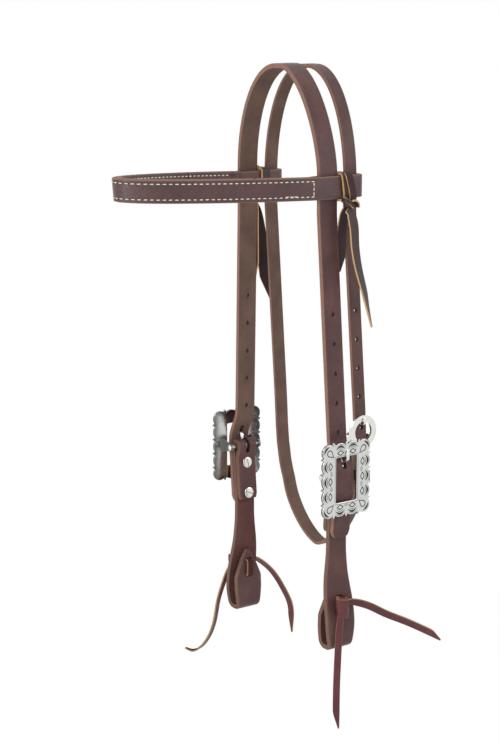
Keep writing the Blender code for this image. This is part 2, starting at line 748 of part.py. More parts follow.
def cheek_stations(side):
    """The cheek from its short inner end, round the bar, down, and up into the flap."""
    y = LEG_LEAN
    route = []
    inner_heights = [INNER_PLY, SCREW_LOW, SCREW_HIGH, INNER_SETTLE, 0.0]
    for drop in inner_heights:
        route.append((inner_ply_x(BAR_Z - drop), BAR_Z - drop, CROWN_WIDTH / 2))
    for angle in between(math.pi, 0.0, 2 * ARC_STEPS)[1:]:
        x = BAR_X + FOLD_RADIUS * math.cos(angle)
        route.append((x, BAR_Z + FOLD_RADIUS * math.sin(angle), CROWN_WIDTH / 2))
    outer = [CHEEK_SETTLE / 2, CHEEK_SETTLE, CHEEK_FLARE_START]
    outer += between(CHEEK_FLARE_START, -LOOP_ARC_Z - BAR_DROP, 11)[1:]
    for drop in outer:
        z = BAR_Z - drop
        route.append((cheek_x(z), z, cheek_half_width(z, False)))
    for angle in between(0.0, -math.pi / 2, 4)[1:]:
        x = LOOP_CENTRE_X + LOOP_FLAT / 2 + LOOP_RADIUS * math.cos(angle)
        z = LOOP_ARC_Z + LOOP_RADIUS * math.sin(angle)
        route.append((x, z, cheek_half_width(z, False)))
    for angle in between(-math.pi / 2, -math.pi, 4):
        x = LOOP_CENTRE_X - LOOP_FLAT / 2 + LOOP_RADIUS * math.cos(angle)
        z = LOOP_ARC_Z + LOOP_RADIUS * math.sin(angle)
        route.append((x, z, cheek_half_width(z, True)))
    for drop in between(-LOOP_ARC_Z - BAR_DROP, FLAP_TIP, 12)[1:]:
        z = BAR_Z - drop
        route.append((flap_x(z), z, cheek_half_width(z, True)))
    return [((side * x, y, z), (0, -side, 0), half) for x, z, half in route]


def slanted(side):
    """Direction square to the sloping plies, pointing away from the horse."""
    return Vector((side, 0, -cheek_slope())).normalized()


def screw_seat(side, drop):
    """Where a screw's axis leaves the outer face of the cheek."""
    z = BAR_Z - drop
    middle = Vector((side * cheek_x(z), LEG_LEAN, z))
    return middle + slanted(side) * (CHEEK_THICK / 2)


def make_cheek(side, leather, parts, cutters):
    name = "near" if side > 0 else "far"
    cheek = strip(f"{name}_cheek_strap", cheek_stations(side), CHEEK_THICK, leather, parts)
    shape = bmesh.new()
    recesses = bmesh.new()
    fold_half = FOLD_RADIUS + CHEEK_THICK
    top = BAR_Z + fold_half
    low = BAR_Z - FOLD_SLOT_DROP
    add_block(
        shape, (side * BAR_X, LEG_LEAN, (top + low) / 2), (2 * fold_half, FOLD_SLOT_WIDTH, top - low)
    )
    for drop in (LACE_SLOT_UP, LACE_SLOT_LOW):
        add_block(
            shape, (side * LOOP_CENTRE_X, LEG_LEAN, BAR_Z - drop),
            (2 * LOOP_HALF_WIDTH + CUT_OVERRUN, LACE_SLOT_WIDTH, LACE_SLOT_HEIGHT),
        )
    for drop in (SCREW_HIGH, SCREW_LOW):
        seat = screw_seat(side, drop)
        axis = slanted(side)
        depth = 2 * CHEEK_THICK + FIT
        add_rod(
            shape, seat - axis * depth / 2, axis, POST_RADIUS + FIT, depth + 4 * FIT, sides=12
        )
        recess = RECESS_DEPTH + FIT / 2
        add_rod(
            recesses, seat + axis * (FIT / 2 - recess / 2), axis, POST_HEAD_RADIUS + FIT, recess
        )
    add_boolean(cheek, as_cutter(from_bmesh(f"{name}_cheek_punches", shape, None, cutters)))
    add_boolean(cheek, as_cutter(from_bmesh(f"{name}_cheek_recesses", recesses, None, cutters)))
    return name


def make_screw_set(name, seat, axis, grip, head, screw_head, metal, parts, cutters):
    """A post from the outer side and the slotted screw that closes it from the inner side."""
    floor = RECESS_DEPTH - FIT
    post_end = grip - FIT
    bore_floor = floor - POST_HEAD_THICK + POST_HEAD_THICK / 4
    profile = [
        (0.0, -floor + POST_HEAD_THICK),
        (head - METAL_EDGE, -floor + POST_HEAD_THICK),
        (head, -floor + POST_HEAD_THICK - METAL_EDGE),
        (head, -floor),
        (POST_RADIUS, -floor),
        (POST_RADIUS, -post_end),
        (POST_BORE, -post_end),
        (POST_BORE, -bore_floor - POST_HEAD_THICK),
        (0.0, -bore_floor - POST_HEAD_THICK),
    ]
    turn = axis.to_track_quat("Z", "Y")
    post = lathe(f"{name}_post", profile, metal, parts)
    post.location = seat
    post.rotation_mode = "QUATERNION"
    post.rotation_quaternion = turn
    under = grip + FIT
    reach = SCREW_SHANK * 4
    profile = [
        (0.0, -under + reach),
        (SCREW_SHANK, -under + reach),
        (SCREW_SHANK, -under),
        (screw_head, -under),
        (screw_head, -under - SCREW_HEAD_THICK + METAL_EDGE),
        (screw_head - METAL_EDGE, -under - SCREW_HEAD_THICK),
        (0.0, -under - SCREW_HEAD_THICK),
    ]
    screw = lathe(f"{name}_screw", profile, metal, parts)
    screw.location = seat
    screw.rotation_mode = "QUATERNION"
    screw.rotation_quaternion = turn
    shape = bmesh.new()
    depth = under + SCREW_HEAD_THICK
    middle = seat - axis * depth
    place = Matrix.Translation(middle) @ turn.to_matrix().to_4x4()
    size = Matrix.Diagonal((3 * screw_head, SCREW_SLOT_WIDTH, 2 * SCREW_SLOT_DEPTH, 1))
    bmesh.ops.create_cube(shape, size=1, matrix=place @ size)
    add_boolean(screw, as_cutter(from_bmesh(f"{name}_slot", shape, None, cutters)))


# Scalloped buckles


def scallop_outline():
    """The plate's edge: a round lobe at each corner, with shallow scallops between them."""
    half_w = PLATE_WIDTH / 2 - SCALLOP_DEPTH
    half_h = PLATE_HEIGHT / 2 - SCALLOP_DEPTH
    reach = CORNER_LOBE_WIDTH + SCALLOP_DEPTH
    inset = reach - math.sqrt(2 * SCALLOP_DEPTH * reach)
    radius = inset + SCALLOP_DEPTH
    swing = math.atan2(inset, CORNER_LOBE_WIDTH - inset)
    corners = ((half_w, half_h), (-half_w, half_h), (-half_w, -half_h), (half_w, -half_h))
    outline = []
    for index, (x, y) in enumerate(corners):
        turn = index * math.pi / 2
        centre = Vector((x - math.copysign(inset, x), y - math.copysign(inset, y)))
        for angle in between(swing - math.pi / 2, math.pi - swing, 2 * SCALLOP_STEPS):
            spoke = Vector((math.cos(angle + turn), math.sin(angle + turn)))
            outline.append(centre + spoke * radius)
        next_x, next_y = corners[(index + 1) % 4]
        along = Vector((next_x - x, next_y - y)).normalized()
        out = Vector((along.y, -along.x))
        start = Vector((x, y)) + along * CORNER_LOBE_WIDTH
        length = math.hypot(next_x - x, next_y - y) - 2 * CORNER_LOBE_WIDTH
        count = SCALLOPS_ACROSS if index % 2 == 0 else SCALLOPS_DOWN
        for k in range(count):
            for step in range(SCALLOP_STEPS):
                angle = math.pi * step / SCALLOP_STEPS
                run = (k + (1 - math.cos(angle)) / 2) * length / count
                if k or step:
                    outline.append(start + along * run + out * SCALLOP_DEPTH * math.sin(angle))
    return [(point.x, point.y) for point in outline]


def rounded_window():
    """The window's outline with small round corners."""
    half_w = WINDOW_WIDTH / 2
    half_h = WINDOW_HEIGHT / 2
    loop = []
    for index, (sx, sy) in enumerate(((1, 1), (-1, 1), (-1, -1), (1, -1))):
        for step in range(3):
            angle = math.pi / 2 * (index + step / 2)
            x = sx * (half_w - WINDOW_CORNER_RADIUS) + WINDOW_CORNER_RADIUS * math.cos(angle)
            y = sy * (half_h - WINDOW_CORNER_RADIUS) + WINDOW_CORNER_RADIUS * math.sin(angle)
            loop.append((x, y))
    return loop


def plate_back_x():
    """The plate's back clears the billet where it passes behind the lower rail."""
    low_rail = BAR_Z - WINDOW_HEIGHT / 2
    return crown_inside_x(low_rail) + across_slope(CROWN_THICK) + PLATE_GAP


def arm_outline():
    """One side arm seen from the side, as (x from the bar, z from the bar)."""
    front = plate_back_x() - BAR_X + ARM_SINK
    foot = -PLATE_HEIGHT / 2 + SCALLOP_DEPTH
    round_in = (ARM_ABOVE_BAR + ARM_BEHIND_BAR) / 3
    loop = [(front, ARM_ABOVE_BAR)]
    for angle in between(math.pi / 2, math.pi, 4):
        x = -ARM_BEHIND_BAR + round_in + round_in * math.cos(angle)
        loop.append((x, ARM_ABOVE_BAR - round_in + round_in * math.sin(angle)))
    loop.append((-ARM_BEHIND_BAR, -ARM_BEHIND_BAR))
    loop.append((front - ARM_FOOT_DEPTH, foot))
    loop.append((front, foot))
    return loop


def make_buckle(side, silver, parts, cutters):
    name = "near" if side > 0 else "far"
    plate = outline_plate(
        f"{name}_buckle_frame", scallop_outline(), [rounded_window()], PLATE_THICK, parts
    )
    plate.data.materials.append(silver)
    # The outline's X becomes the horse's front-to-back direction and its Y becomes up.
    stand = Matrix(((0, 0, 1, 0), (1, 0, 0, 0), (0, 1, 0, 0), (0, 0, 0, 1)))
    middle = Vector((side * (plate_back_x() + PLATE_THICK / 2), LEG_LEAN, BAR_Z))
    plate.matrix_world = Matrix.Translation(middle) @ stand
    # An arm's outline has X away from the horse, so its thickness runs front to back.
    upright = Matrix(((side, 0, 0, 0), (0, 0, -side, 0), (0, 1, 0, 0), (0, 0, 0, 1)))
    for end in (-1, 1):
        arm = outline_plate(f"{name}_arm_{end}", arm_outline(), [], ARM_THICK, cutters)
        place = Vector((side * BAR_X, LEG_LEAN + end * ARM_OFFSET, BAR_Z))
        arm.matrix_world = Matrix.Translation(place) @ upright
        add_boolean(plate, as_cutter(arm), "UNION")
    shape = bmesh.new()
    wide = 2 * (ARM_OFFSET + ARM_THICK)
    add_rod(shape, (side * BAR_X, LEG_LEAN, BAR_Z), (0, 1, 0), BAR_RADIUS + FIT, wide)
    add_boolean(plate, as_cutter(from_bmesh(f"{name}_bar_bore", shape, None, cutters)))

    length = ARM_OFFSET + ARM_THICK / 2 + FIT
    profile = [
        (0.0, length + BAR_HEAD_THICK),
        (BAR_HEAD_RADIUS - METAL_EDGE, length + BAR_HEAD_THICK),
        (BAR_HEAD_RADIUS, length + BAR_HEAD_THICK - METAL_EDGE),
        (BAR_HEAD_RADIUS, length),
        (BAR_RADIUS, length),
        (BAR_RADIUS, -length),
        (BAR_HEAD_RADIUS, -length),
        (BAR_HEAD_RADIUS, -length - BAR_HEAD_THICK + METAL_EDGE),
        (BAR_HEAD_RADIUS - METAL_EDGE, -length - BAR_HEAD_THICK),
        (0.0, -length - BAR_HEAD_THICK),
    ]
    bar = lathe(f"{name}_buckle_bar", profile, silver, parts, steps=16)
    bar.location = (side * BAR_X, LEG_LEAN, BAR_Z)
    bar.rotation_euler = (math.radians(90), 0, 0)


def tongue_route(radius, bend_rise, reach, rest_x, tip):
    """A tongue's middle line round its bar and up to its tip, as (x, z) from the bar."""
    ring = radius + FIT + TONGUE_THICK / 2
    start = math.radians(-300)
    route = []
    for angle in between(start, math.radians(20), 11):
        route.append((ring * math.cos(angle), ring * math.sin(angle)))
    rest = rest_x + TONGUE_THICK / 2 + FIT
    rise = reach - tip
    route.append((ring + TONGUE_THICK / 4, bend_rise / 2))
    for step in range(EASE_STEPS):
        t = step / (EASE_STEPS - 1)
        x = ring + TONGUE_THICK / 2 + (rest - ring - TONGUE_THICK / 2) * ease(t)
        route.append((x, bend_rise + (rise - bend_rise) * t))
    route.append((rest, reach))
    return route


def make_tongue(name, bar, side, radius, width, shape_sizes, metal, parts):
    """A flat tongue, wrapped round its bar, with its tip on the front of the frame."""
    route = tongue_route(radius, *shape_sizes)
    stations = []
    for index, (x, z) in enumerate(route):
        half = width / 2 * (0.7 if index == len(route) - 1 else 1.0)
        stations.append(((side * x, 0, z), (0, -side, 0), half))
    tongue = strip(name, stations, TONGUE_THICK, metal, parts, edge=METAL_EDGE)
    tongue.location = bar
    return tongue


# Throatlatch buckle and keeper


def shoe_outline():
    """Horseshoe ring with legs down, as (across, up) from the centre of its round top."""
    outer = [(SHOE_RADIUS * math.cos(a), SHOE_RADIUS * math.sin(a))
             for a in between(0.0, math.pi, SHOE_STEPS)]
    inner = [(SHOE_INNER * math.cos(a), SHOE_INNER * math.sin(a))
             for a in between(math.pi, 0.0, SHOE_STEPS)]
    draw_in = (SHOE_RADIUS - SHOE_INNER) / 4
    left = [(-SHOE_RADIUS + draw_in, -SHOE_LEG), (-SHOE_INNER, -SHOE_LEG)]
    right = [(SHOE_INNER, -SHOE_LEG), (SHOE_RADIUS - draw_in, -SHOE_LEG)]
    return outer + left + inner + right


def shoe_back_x():
    over_bar = throat_billet_x(THROAT_BAR_Z) + THROAT_THICK
    return over_bar + SHOE_GAP


def make_throat_buckle(silver, parts, cutters):
    y = throat_y(THROAT_BAR_Z)
    shoe = outline_plate("throat_buckle_frame", shoe_outline(), [], SHOE_THICK, parts)
    shoe.data.materials.append(silver)
    stand = Matrix(((0, 0, 1, 0), (1, 0, 0, 0), (0, 1, 0, 0), (0, 0, 0, 1)))
    middle = Vector((shoe_back_x() + SHOE_THICK / 2, y, THROAT_BAR_Z + SHOE_CENTRE_RISE))
    shoe.matrix_world = Matrix.Translation(middle) @ stand
    shape = bmesh.new()
    front = shoe_back_x() + ARM_SINK
    behind = THROAT_BAR_X - THROAT_BAR_RADIUS - METAL_EDGE
    lug = (SHOE_RADIUS - SHOE_INNER) / 2
    lug_y = SHOE_INNER + lug / 2
    for end in (-1, 1):
        add_block(
            shape, ((front + behind) / 2, y + end * lug_y, THROAT_BAR_Z),
            (front - behind, lug, SHOE_ARM_HEIGHT),
        )
    lugs = as_cutter(from_bmesh("throat_buckle_lugs", shape, None, cutters))
    add_boolean(shoe, lugs, "UNION")
    shape = bmesh.new()
    add_rod(
        shape, (THROAT_BAR_X, y, THROAT_BAR_Z), (0, 1, 0), THROAT_BAR_RADIUS,
        2 * SHOE_INNER + lug, sides=16,
    )
    heel = as_cutter(from_bmesh("throat_buckle_heel_bar", shape, None, cutters))
    add_boolean(shoe, heel, "UNION")


def rounded_ring(low_x, high_x, low_z, high_z, corner, y_of, half):
    """Stations of a closed band round a rectangle, anticlockwise seen from the front."""
    corners = ((high_x, high_z, 0), (low_x, high_z, 1), (low_x, low_z, 2), (high_x, low_z, 3))
    stations = []
    for x, z, quarter in corners:
        centre_x = x + (corner if x == low_x else -corner)
        centre_z = z + (corner if z == low_z else -corner)
        for angle in between(0.0, math.pi / 2, 3):
            turn = angle + quarter * math.pi / 2
            place = (centre_x + corner * math.cos(turn), y_of, centre_z + corner * math.sin(turn))
            stations.append((place, (0, 1, 0), half))
    return stations


def make_keeper(leather, parts):
    z = THROAT_BAR_Z - KEEPER_DROP
    plies_out = throat_loop_x(z) + THROAT_THICK * 1.5 + FIT
    plies_in = throat_loop_x(z) - THROAT_THICK / 2 - KEEPER_SLACK
    off = FIT + KEEPER_THICK / 2
    half_y = THROAT_WIDTH / 2 + off
    stations = []
    low_x, high_x = plies_in - off, plies_out + off
    corners = ((high_x, half_y, 0), (low_x, half_y, 1), (low_x, -half_y, 2), (high_x, -half_y, 3))
    for x, y, quarter in corners:
        centre_x = x + (KEEPER_CORNER if x == low_x else -KEEPER_CORNER)
        centre_y = y + (KEEPER_CORNER if y < 0 else -KEEPER_CORNER)
        for angle in between(0.0, math.pi / 2, 3):
            turn = angle + quarter * math.pi / 2
            place = (
                centre_x + KEEPER_CORNER * math.cos(turn),
                throat_y(z) + centre_y + KEEPER_CORNER * math.sin(turn),
                z,
            )
            stations.append((place, (0, 0, 1), KEEPER_WIDTH / 2))
    strip("throat_keeper", stations, KEEPER_THICK, leather, parts, edge=METAL_EDGE, closed=True)


# Browband


def brow_level(side):
    """Height of the browband's middle where it meets the straps."""
    return -BROW_DROP - (BROW_FAR_SAG if side < 0 else 0.0)


def brow_frame(share, side):
    """Middle of the outer ply, outward normal and width direction on the curve to the front."""
    start = Vector((BROW_OUTER_X, BROW_START))
    handle = Vector((BROW_OUTER_X, BROW_START - BROW_SIDE_HANDLE))
    front_handle = Vector((BROW_FRONT_HANDLE, -BROW_REACH))
    front = Vector((0.0, -BROW_REACH))
    t = share
    place = ((1 - t) ** 3 * start + 3 * (1 - t) ** 2 * t * handle
             + 3 * (1 - t) * t**2 * front_handle + t**3 * front)
    along = (3 * (1 - t) ** 2 * (handle - start) + 6 * (1 - t) * t * (front_handle - handle)
             + 3 * t**2 * (front - front_handle)).normalized()
    forward = ramp(-place.y, -BROW_START, BROW_REACH)
    lean = BROW_LEAN * forward
    level = Vector((side * -along.y, along.x, 0))
    outward = level * math.cos(lean) + Vector((0, 0, -math.sin(lean)))
    across = level * math.sin(lean) + Vector((0, 0, math.cos(lean)))
    z = brow_level(side) + (BROW_RISE - BROW_DROP - brow_level(side)) * forward
    return Vector((side * place.x, place.y, z)), outward, across


def brow_curve(depth, shares, side):
    """Stations on the curve to the front, a depth behind the outer ply's middle."""
    stations = []
    for share in shares:
        place, outward, across = brow_frame(share, side)
        stations.append((place - outward * depth, across, BROW_WIDTH / 2))
    return stations


def return_stations(side):
    """The turned-back end: from the fold, inside the straps, to lie against the outer ply."""
    half = BROW_WIDTH / 2
    up = Vector((0, 0, 1))
    stations = [(Vector((side * BROW_INNER_X, y, brow_level(side))), up, half)
                for y in (THROAT_BACK, BROW_START)]
    ends = [share for share in between(0.0, 1.0, BROW_STEPS)
            if brow_frame(share, 1)[0].y > BROW_START - BROW_RETURN]
    for share in ends[1:]:
        place, outward, across = brow_frame(share, side)
        settled = ease(ramp(BROW_START - place.y, 0.0, BROW_SETTLE))
        deep = BROW_OUTER_X - BROW_INNER_X
        depth = deep + (BROW_PLY - deep) * settled
        stations.append((place - outward * depth, across, half))
    return stations


def brow_fold(side):
    """Half circle round the back edge of the throatlatch, from the outer to the inner ply."""
    radius = (BROW_OUTER_X - BROW_INNER_X) / 2
    centre_x = (BROW_OUTER_X + BROW_INNER_X) / 2
    centre_y = THROAT_BACK + THROAT_WIDTH / 2 - FOLD_PAST_THROAT
    stations = []
    for angle in between(0.0, math.pi, 2 * ARC_STEPS):
        x = centre_x + radius * math.cos(angle)
        y = centre_y + radius * math.sin(angle)
        stations.append((Vector((side * x, y, brow_level(side))), Vector((0, 0, 1)), BROW_WIDTH / 2))
    return stations


def make_browband(leather, parts):
    shares = between(0.0, 1.0, BROW_STEPS)
    near = return_stations(1)[::-1] + brow_fold(1)[::-1] + brow_curve(0.0, shares, 1)
    far = brow_curve(0.0, shares[:-1], -1)[::-1] + brow_fold(-1) + return_stations(-1)
    strip("browband_strap", near + far, BROW_THICK, leather, parts)
    inner = [share for share in shares if brow_frame(share, 1)[0].y < BROW_START - BROW_RETURN]
    start = inner[0] - (inner[0] - shares[shares.index(inner[0]) - 1]) / 2
    inner = [start, *inner]
    near = brow_curve(BROW_PLY, inner, 1)
    far = brow_curve(BROW_PLY, inner[:-1], -1)[::-1]
    strip("browband_liner", near + far, BROW_THICK, leather, parts)


# Thongs and laces


def make_tie(side, leather, parts, cutters):
    """The thong round the browband, between crown strap and throatlatch, with its knot below."""
    name = "near" if side > 0 else "far"
    off = FIT + TIE_THICK / 2
    low_x = BROW_INNER_X - BROW_THICK / 2 - off
    high_x = BROW_OUTER_X + BROW_THICK / 2 + off
    low_z = brow_level(side) - BROW_WIDTH / 2 - off
    high_z = brow_level(side) + BROW_WIDTH / 2 + off
    ring = rounded_ring(low_x, high_x, low_z, high_z, TIE_CORNER, TIE_Y, TIE_WIDTH / 2)
    ring = [((side * x, y, z), across, half) for (x, y, z), across, half in ring]
    tie = strip(f"{name}_browband_tie", ring, TIE_THICK, leather, parts, edge=METAL_EDGE, closed=True)
    shape = bmesh.new()
    knot = Vector((
        side * (high_x + TIE_KNOT_DEPTH / 2 - TIE_KNOT_SINK),
        TIE_Y,
        low_z - TIE_KNOT_HEIGHT / 2 + TIE_KNOT_SINK,
    ))
    add_block(shape, knot, (TIE_KNOT_DEPTH, TIE_KNOT_WIDTH, TIE_KNOT_HEIGHT))
    block = as_cutter(from_bmesh(f"{name}_tie_knot", shape, None, cutters))
    add_bevel(block, TIE_KNOT_HEIGHT / 4, segments=2)
    add_boolean(tie, block, "UNION")


def make_bit_lace(side, leather, parts, cutters):
    """The lace through both slots of the flap and cheek, knotted on the outer side."""
    name = "near" if side > 0 else "far"
    high_z = BAR_Z - LACE_SLOT_UP
    low_z = BAR_Z - LACE_SLOT_LOW
    inner_x = flap_x(low_z) - CHEEK_THICK / 2 - FIT * 2 - LACE_THICK / 2
    knot_back = cheek_x(low_z) + CHEEK_THICK / 2 + FIT + LACE_KNOT_STANDOFF
    end_x = knot_back + LACE_KNOT_DEPTH / 2
    route = [(end_x, high_z)]
    for angle in between(math.pi / 2, math.pi, 3):
        x = inner_x + LACE_CORNER + LACE_CORNER * math.cos(angle)
        route.append((x, high_z - LACE_CORNER + LACE_CORNER * math.sin(angle)))
    for angle in between(math.pi, math.pi * 1.5, 3):
        x = inner_x + LACE_CORNER + LACE_CORNER * math.cos(angle)
        route.append((x, low_z + LACE_CORNER + LACE_CORNER * math.sin(angle)))
    route.append((end_x, low_z))
    stations = [((side * x, LEG_LEAN, z), (0, side, 0), LACE_WIDTH / 2) for x, z in route]
    lace = strip(f"{name}_bit_lace", stations, LACE_THICK, leather, parts, edge=METAL_EDGE)
    shape = bmesh.new()
    middle = (side * (knot_back + LACE_KNOT_DEPTH / 2), LEG_LEAN, (high_z + low_z) / 2)
    add_block(shape, middle, (LACE_KNOT_DEPTH, LACE_KNOT_WIDTH, LACE_KNOT_HEIGHT))
    block = as_cutter(from_bmesh(f"{name}_lace_knot", shape, None, cutters))
    add_bevel(block, LACE_KNOT_DEPTH / 4, segments=2)
    add_boolean(lace, block, "UNION")


def make_tail(name, points, width_ends, width, thickness, leather, parts):
    """The free end of a thong or lace: a flat strip, drawn in at its knot, with a pointed tip."""
    start_across, end_across = (Vector(across) for across in width_ends)
    places = smooth_points(points, TAIL_STEPS)
    stations = []
    for index, place in enumerate(places):
        share = index / TAIL_STEPS
        before = places[max(index - 1, 0)]
        after = places[min(index + 1, TAIL_STEPS)]
        along = (after - before).normalized()
        across = start_across.lerp(end_across, share)
        across = (across - along * across.dot(along)).normalized()
        drawn = KNOT_WIDTH_SHARE + (1 - KNOT_WIDTH_SHARE) * ease(ramp(share, 0.0, DRAWN_IN_SHARE))
        taper = drawn * (1 - (1 - TIP_WIDTH_SHARE) * ramp(share, 1 - TIP_SHARE, 1.0))
        stations.append((place, across, width / 2 * taper))
    strip(name, stations, thickness, leather, parts, edge=None)


def main():
    clear_scene()
    parts = new_collection("western_headstall")
    cutters = new_collection("cutters")
    strap = material("mahogany_strap", (0.115, 0.052, 0.047), 0.42)
    throat = material("throatlatch_leather", (0.112, 0.055, 0.046), 0.45)
    band = material("browband_leather", (0.100, 0.045, 0.046), 0.40)
    thong = material("tie_thong", (0.035, 0.022, 0.020), 0.50)
    lace = material("bit_lace_leather", (0.085, 0.030, 0.028), 0.48)
    silver = material("engraved_silver", (0.80, 0.80, 0.78), 0.22, 1.0)
    nickel = material("bright_nickel", (0.78, 0.77, 0.72), 0.18, 1.0)

    make_crown(strap, parts, cutters)
    make_throatlatch(throat, parts, cutters)
    make_browband(band, parts)
    make_keeper(throat, parts)
    make_throat_buckle(silver, parts, cutters)
    throat_bar = (THROAT_BAR_X, throat_y(THROAT_BAR_Z), THROAT_BAR_Z)
    shoe_front = shoe_back_x() + SHOE_THICK - THROAT_BAR_X
    sizes = (THROAT_TONGUE_BEND, THROAT_TONGUE_REACH, shoe_front, THROAT_TONGUE_TIP)
    make_tongue(
        "throat_buckle_tongue", throat_bar, 1, THROAT_BAR_RADIUS, THROAT_TONGUE_WIDTH, sizes,
        silver, parts,
    )
    screw_z = THROAT_BAR_Z - THROAT_SCREW
    seat = Vector((throat_loop_x(screw_z) + THROAT_THICK / 2, throat_y(screw_z), screw_z))
    make_screw_set(
        "throat_fold", seat, Vector((1, 0, 0)), 2 * THROAT_THICK + FIT, SMALL_POST_HEAD,
        SMALL_SCREW_HEAD, nickel, parts, cutters,
    )
    for side in (1, -1):
        name = make_cheek(side, strap, parts, cutters)
        make_buckle(side, silver, parts, cutters)
        plate_front = plate_back_x() + PLATE_THICK - BAR_X
        sizes = (TONGUE_BEND_RISE, TONGUE_REACH, plate_front, TONGUE_TIP_LENGTH)
        make_tongue(
            f"{name}_buckle_tongue", (side * BAR_X, LEG_LEAN, BAR_Z), side, BAR_RADIUS,
            TONGUE_WIDTH, sizes, silver, parts,
        )
        for place, drop in (("upper", SCREW_HIGH), ("lower", SCREW_LOW)):
            make_screw_set(
                f"{name}_cheek_{place}", screw_seat(side, drop), slanted(side),
                2 * CHEEK_THICK + FIT, POST_HEAD_RADIUS, SCREW_HEAD_RADIUS, nickel, parts, cutters,
            )
        make_tie(side, thong, parts, cutters)
        make_bit_lace(side, lace, parts, cutters)

    tails = (
        ("near_tie_tail_long", NEAR_TIE_LONG, NEAR_TIE_LONG_WIDTH, TIE_TAIL_WIDTH, thong),
        ("near_tie_tail_short", NEAR_TIE_SHORT, NEAR_TIE_SHORT_WIDTH, TIE_TAIL_WIDTH, thong),
        ("far_tie_tail_long", FAR_TIE_LONG, FAR_TIE_LONG_WIDTH, TIE_TAIL_WIDTH, thong),
        ("far_tie_tail_short", FAR_TIE_SHORT, FAR_TIE_SHORT_WIDTH, TIE_TAIL_WIDTH, thong),
        ("near_lace_tail_out", NEAR_LACE_OUT, NEAR_LACE_OUT_WIDTH, LACE_WIDTH, lace),
        ("near_lace_tail_down", NEAR_LACE_DOWN, NEAR_LACE_DOWN_WIDTH, LACE_WIDTH, lace),
        ("far_lace_tail_rear", FAR_LACE_REAR, FAR_LACE_REAR_WIDTH, LACE_WIDTH, lace),
        ("far_lace_tail_front", FAR_LACE_FRONT, FAR_LACE_FRONT_WIDTH, LACE_WIDTH, lace),
    )
    for name, points, width_ends, width, leather in tails:
        make_tail(name, points, width_ends, width, LACE_THICK, leather, parts)


main()
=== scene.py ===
"""Western browband headstall with scalloped buckles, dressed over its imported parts.

The horse faces -Y and its near side is +X. Straps are laid along the same routes as the cut parts.
Everything is in metres.
"""

import math

import bpy
from mathutils import Matrix, Vector


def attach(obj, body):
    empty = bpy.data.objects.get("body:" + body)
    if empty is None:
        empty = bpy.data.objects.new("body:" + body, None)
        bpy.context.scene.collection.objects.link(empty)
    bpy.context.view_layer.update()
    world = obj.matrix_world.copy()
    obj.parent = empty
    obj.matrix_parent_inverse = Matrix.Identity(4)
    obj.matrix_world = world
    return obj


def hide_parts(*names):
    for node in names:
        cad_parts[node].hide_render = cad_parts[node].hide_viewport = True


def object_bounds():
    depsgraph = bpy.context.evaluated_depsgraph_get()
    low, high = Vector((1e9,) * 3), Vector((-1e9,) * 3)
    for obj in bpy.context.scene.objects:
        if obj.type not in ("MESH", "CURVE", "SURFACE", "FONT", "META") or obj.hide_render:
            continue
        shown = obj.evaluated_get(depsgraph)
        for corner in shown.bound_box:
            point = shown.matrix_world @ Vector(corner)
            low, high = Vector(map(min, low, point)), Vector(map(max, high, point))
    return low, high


bl_info = {
    "name": "Western Headstall",
    "version": (1, 0, 0),
    "blender": (4, 5, 0),
    "location": "3D View > Sidebar > Headstall",
    "description": "Builds the straps, buckles, laces and stitching of a browband headstall",
    "category": "Object",
}

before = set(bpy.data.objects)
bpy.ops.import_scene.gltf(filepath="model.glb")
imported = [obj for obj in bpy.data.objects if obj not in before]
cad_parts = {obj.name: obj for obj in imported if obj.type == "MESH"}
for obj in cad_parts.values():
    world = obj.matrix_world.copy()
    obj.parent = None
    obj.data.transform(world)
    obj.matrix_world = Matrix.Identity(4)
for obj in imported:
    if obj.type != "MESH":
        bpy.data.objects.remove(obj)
CAD_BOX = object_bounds()

# Fits and cutting
FIT = 0.0003
CUT_OVERRUN = 0.004
# Index of the nearly black finish of cut walls, which is painted shade inside holes, slots and
# bores
PUNCHED = 3
TOLERANCE = 0.000001
ENLARGED = 1000

# Crown strap
CROWN_WIDTH = 0.01905
CROWN_THICK = 0.0044
POLL_FLAT = 0.008
ARCH_HALF = 0.0578
ARCH_RISE = 0.086
NEAR_ARCH_ROUNDNESS = 1.6
FAR_ARCH_ROUNDNESS = 2.0
LEG_STRAIGHT = 0.118
LEG_SPREAD = 0.0101
LEG_LEAN = 0.0045
HOLE_PITCH = 0.0254
HOLE_RADIUS = 0.0021
WORN_HOLE = 0.82
HOLE_SLIT = 1.7
FREE_HOLES = 5
BILLET_PAST_BAR = 0.053
BILLET_TIP_CUT = 0.006

# Scalloped buckles
BAR_DROP = 0.342
BAR_OUTSET = 0.0088
BAR_RADIUS = 0.0018
BAR_HEAD_RADIUS = 0.0028
BAR_HEAD_THICK = 0.0012
TONGUE_HOLE_RISE = 0.0125
TONGUE_SLOT = 0.0100
TONGUE_SLOT_WIDTH = 0.0044
TONGUE_SLOT_PULL = 0.0004
SLOT_SHOULDER = 0.72
NARROW_SLOT = 0.80
SHORT_SLOT = 0.90
STEP_ABOVE_BAR = 0.034
STEP_CLEAR_OF_BAR = 0.005
PLATE_WIDTH = 0.0520
PLATE_HEIGHT = 0.0645
PLATE_THICK = 0.0024
PLATE_GAP = 0.0012
WINDOW_WIDTH = 0.0226
WINDOW_HEIGHT = 0.0396
WINDOW_CORNER_RADIUS = 0.0012
SCALLOP_DEPTH = 0.0030
CORNER_LOBE_WIDTH = 0.0095
SCALLOPS_ACROSS = 2
SCALLOPS_DOWN = 3
ARM_THICK = 0.0020
ARM_OFFSET = 0.0152
ARM_BEHIND_BAR = 0.0037
ARM_ABOVE_BAR = 0.0085
ARM_SINK = 0.0008
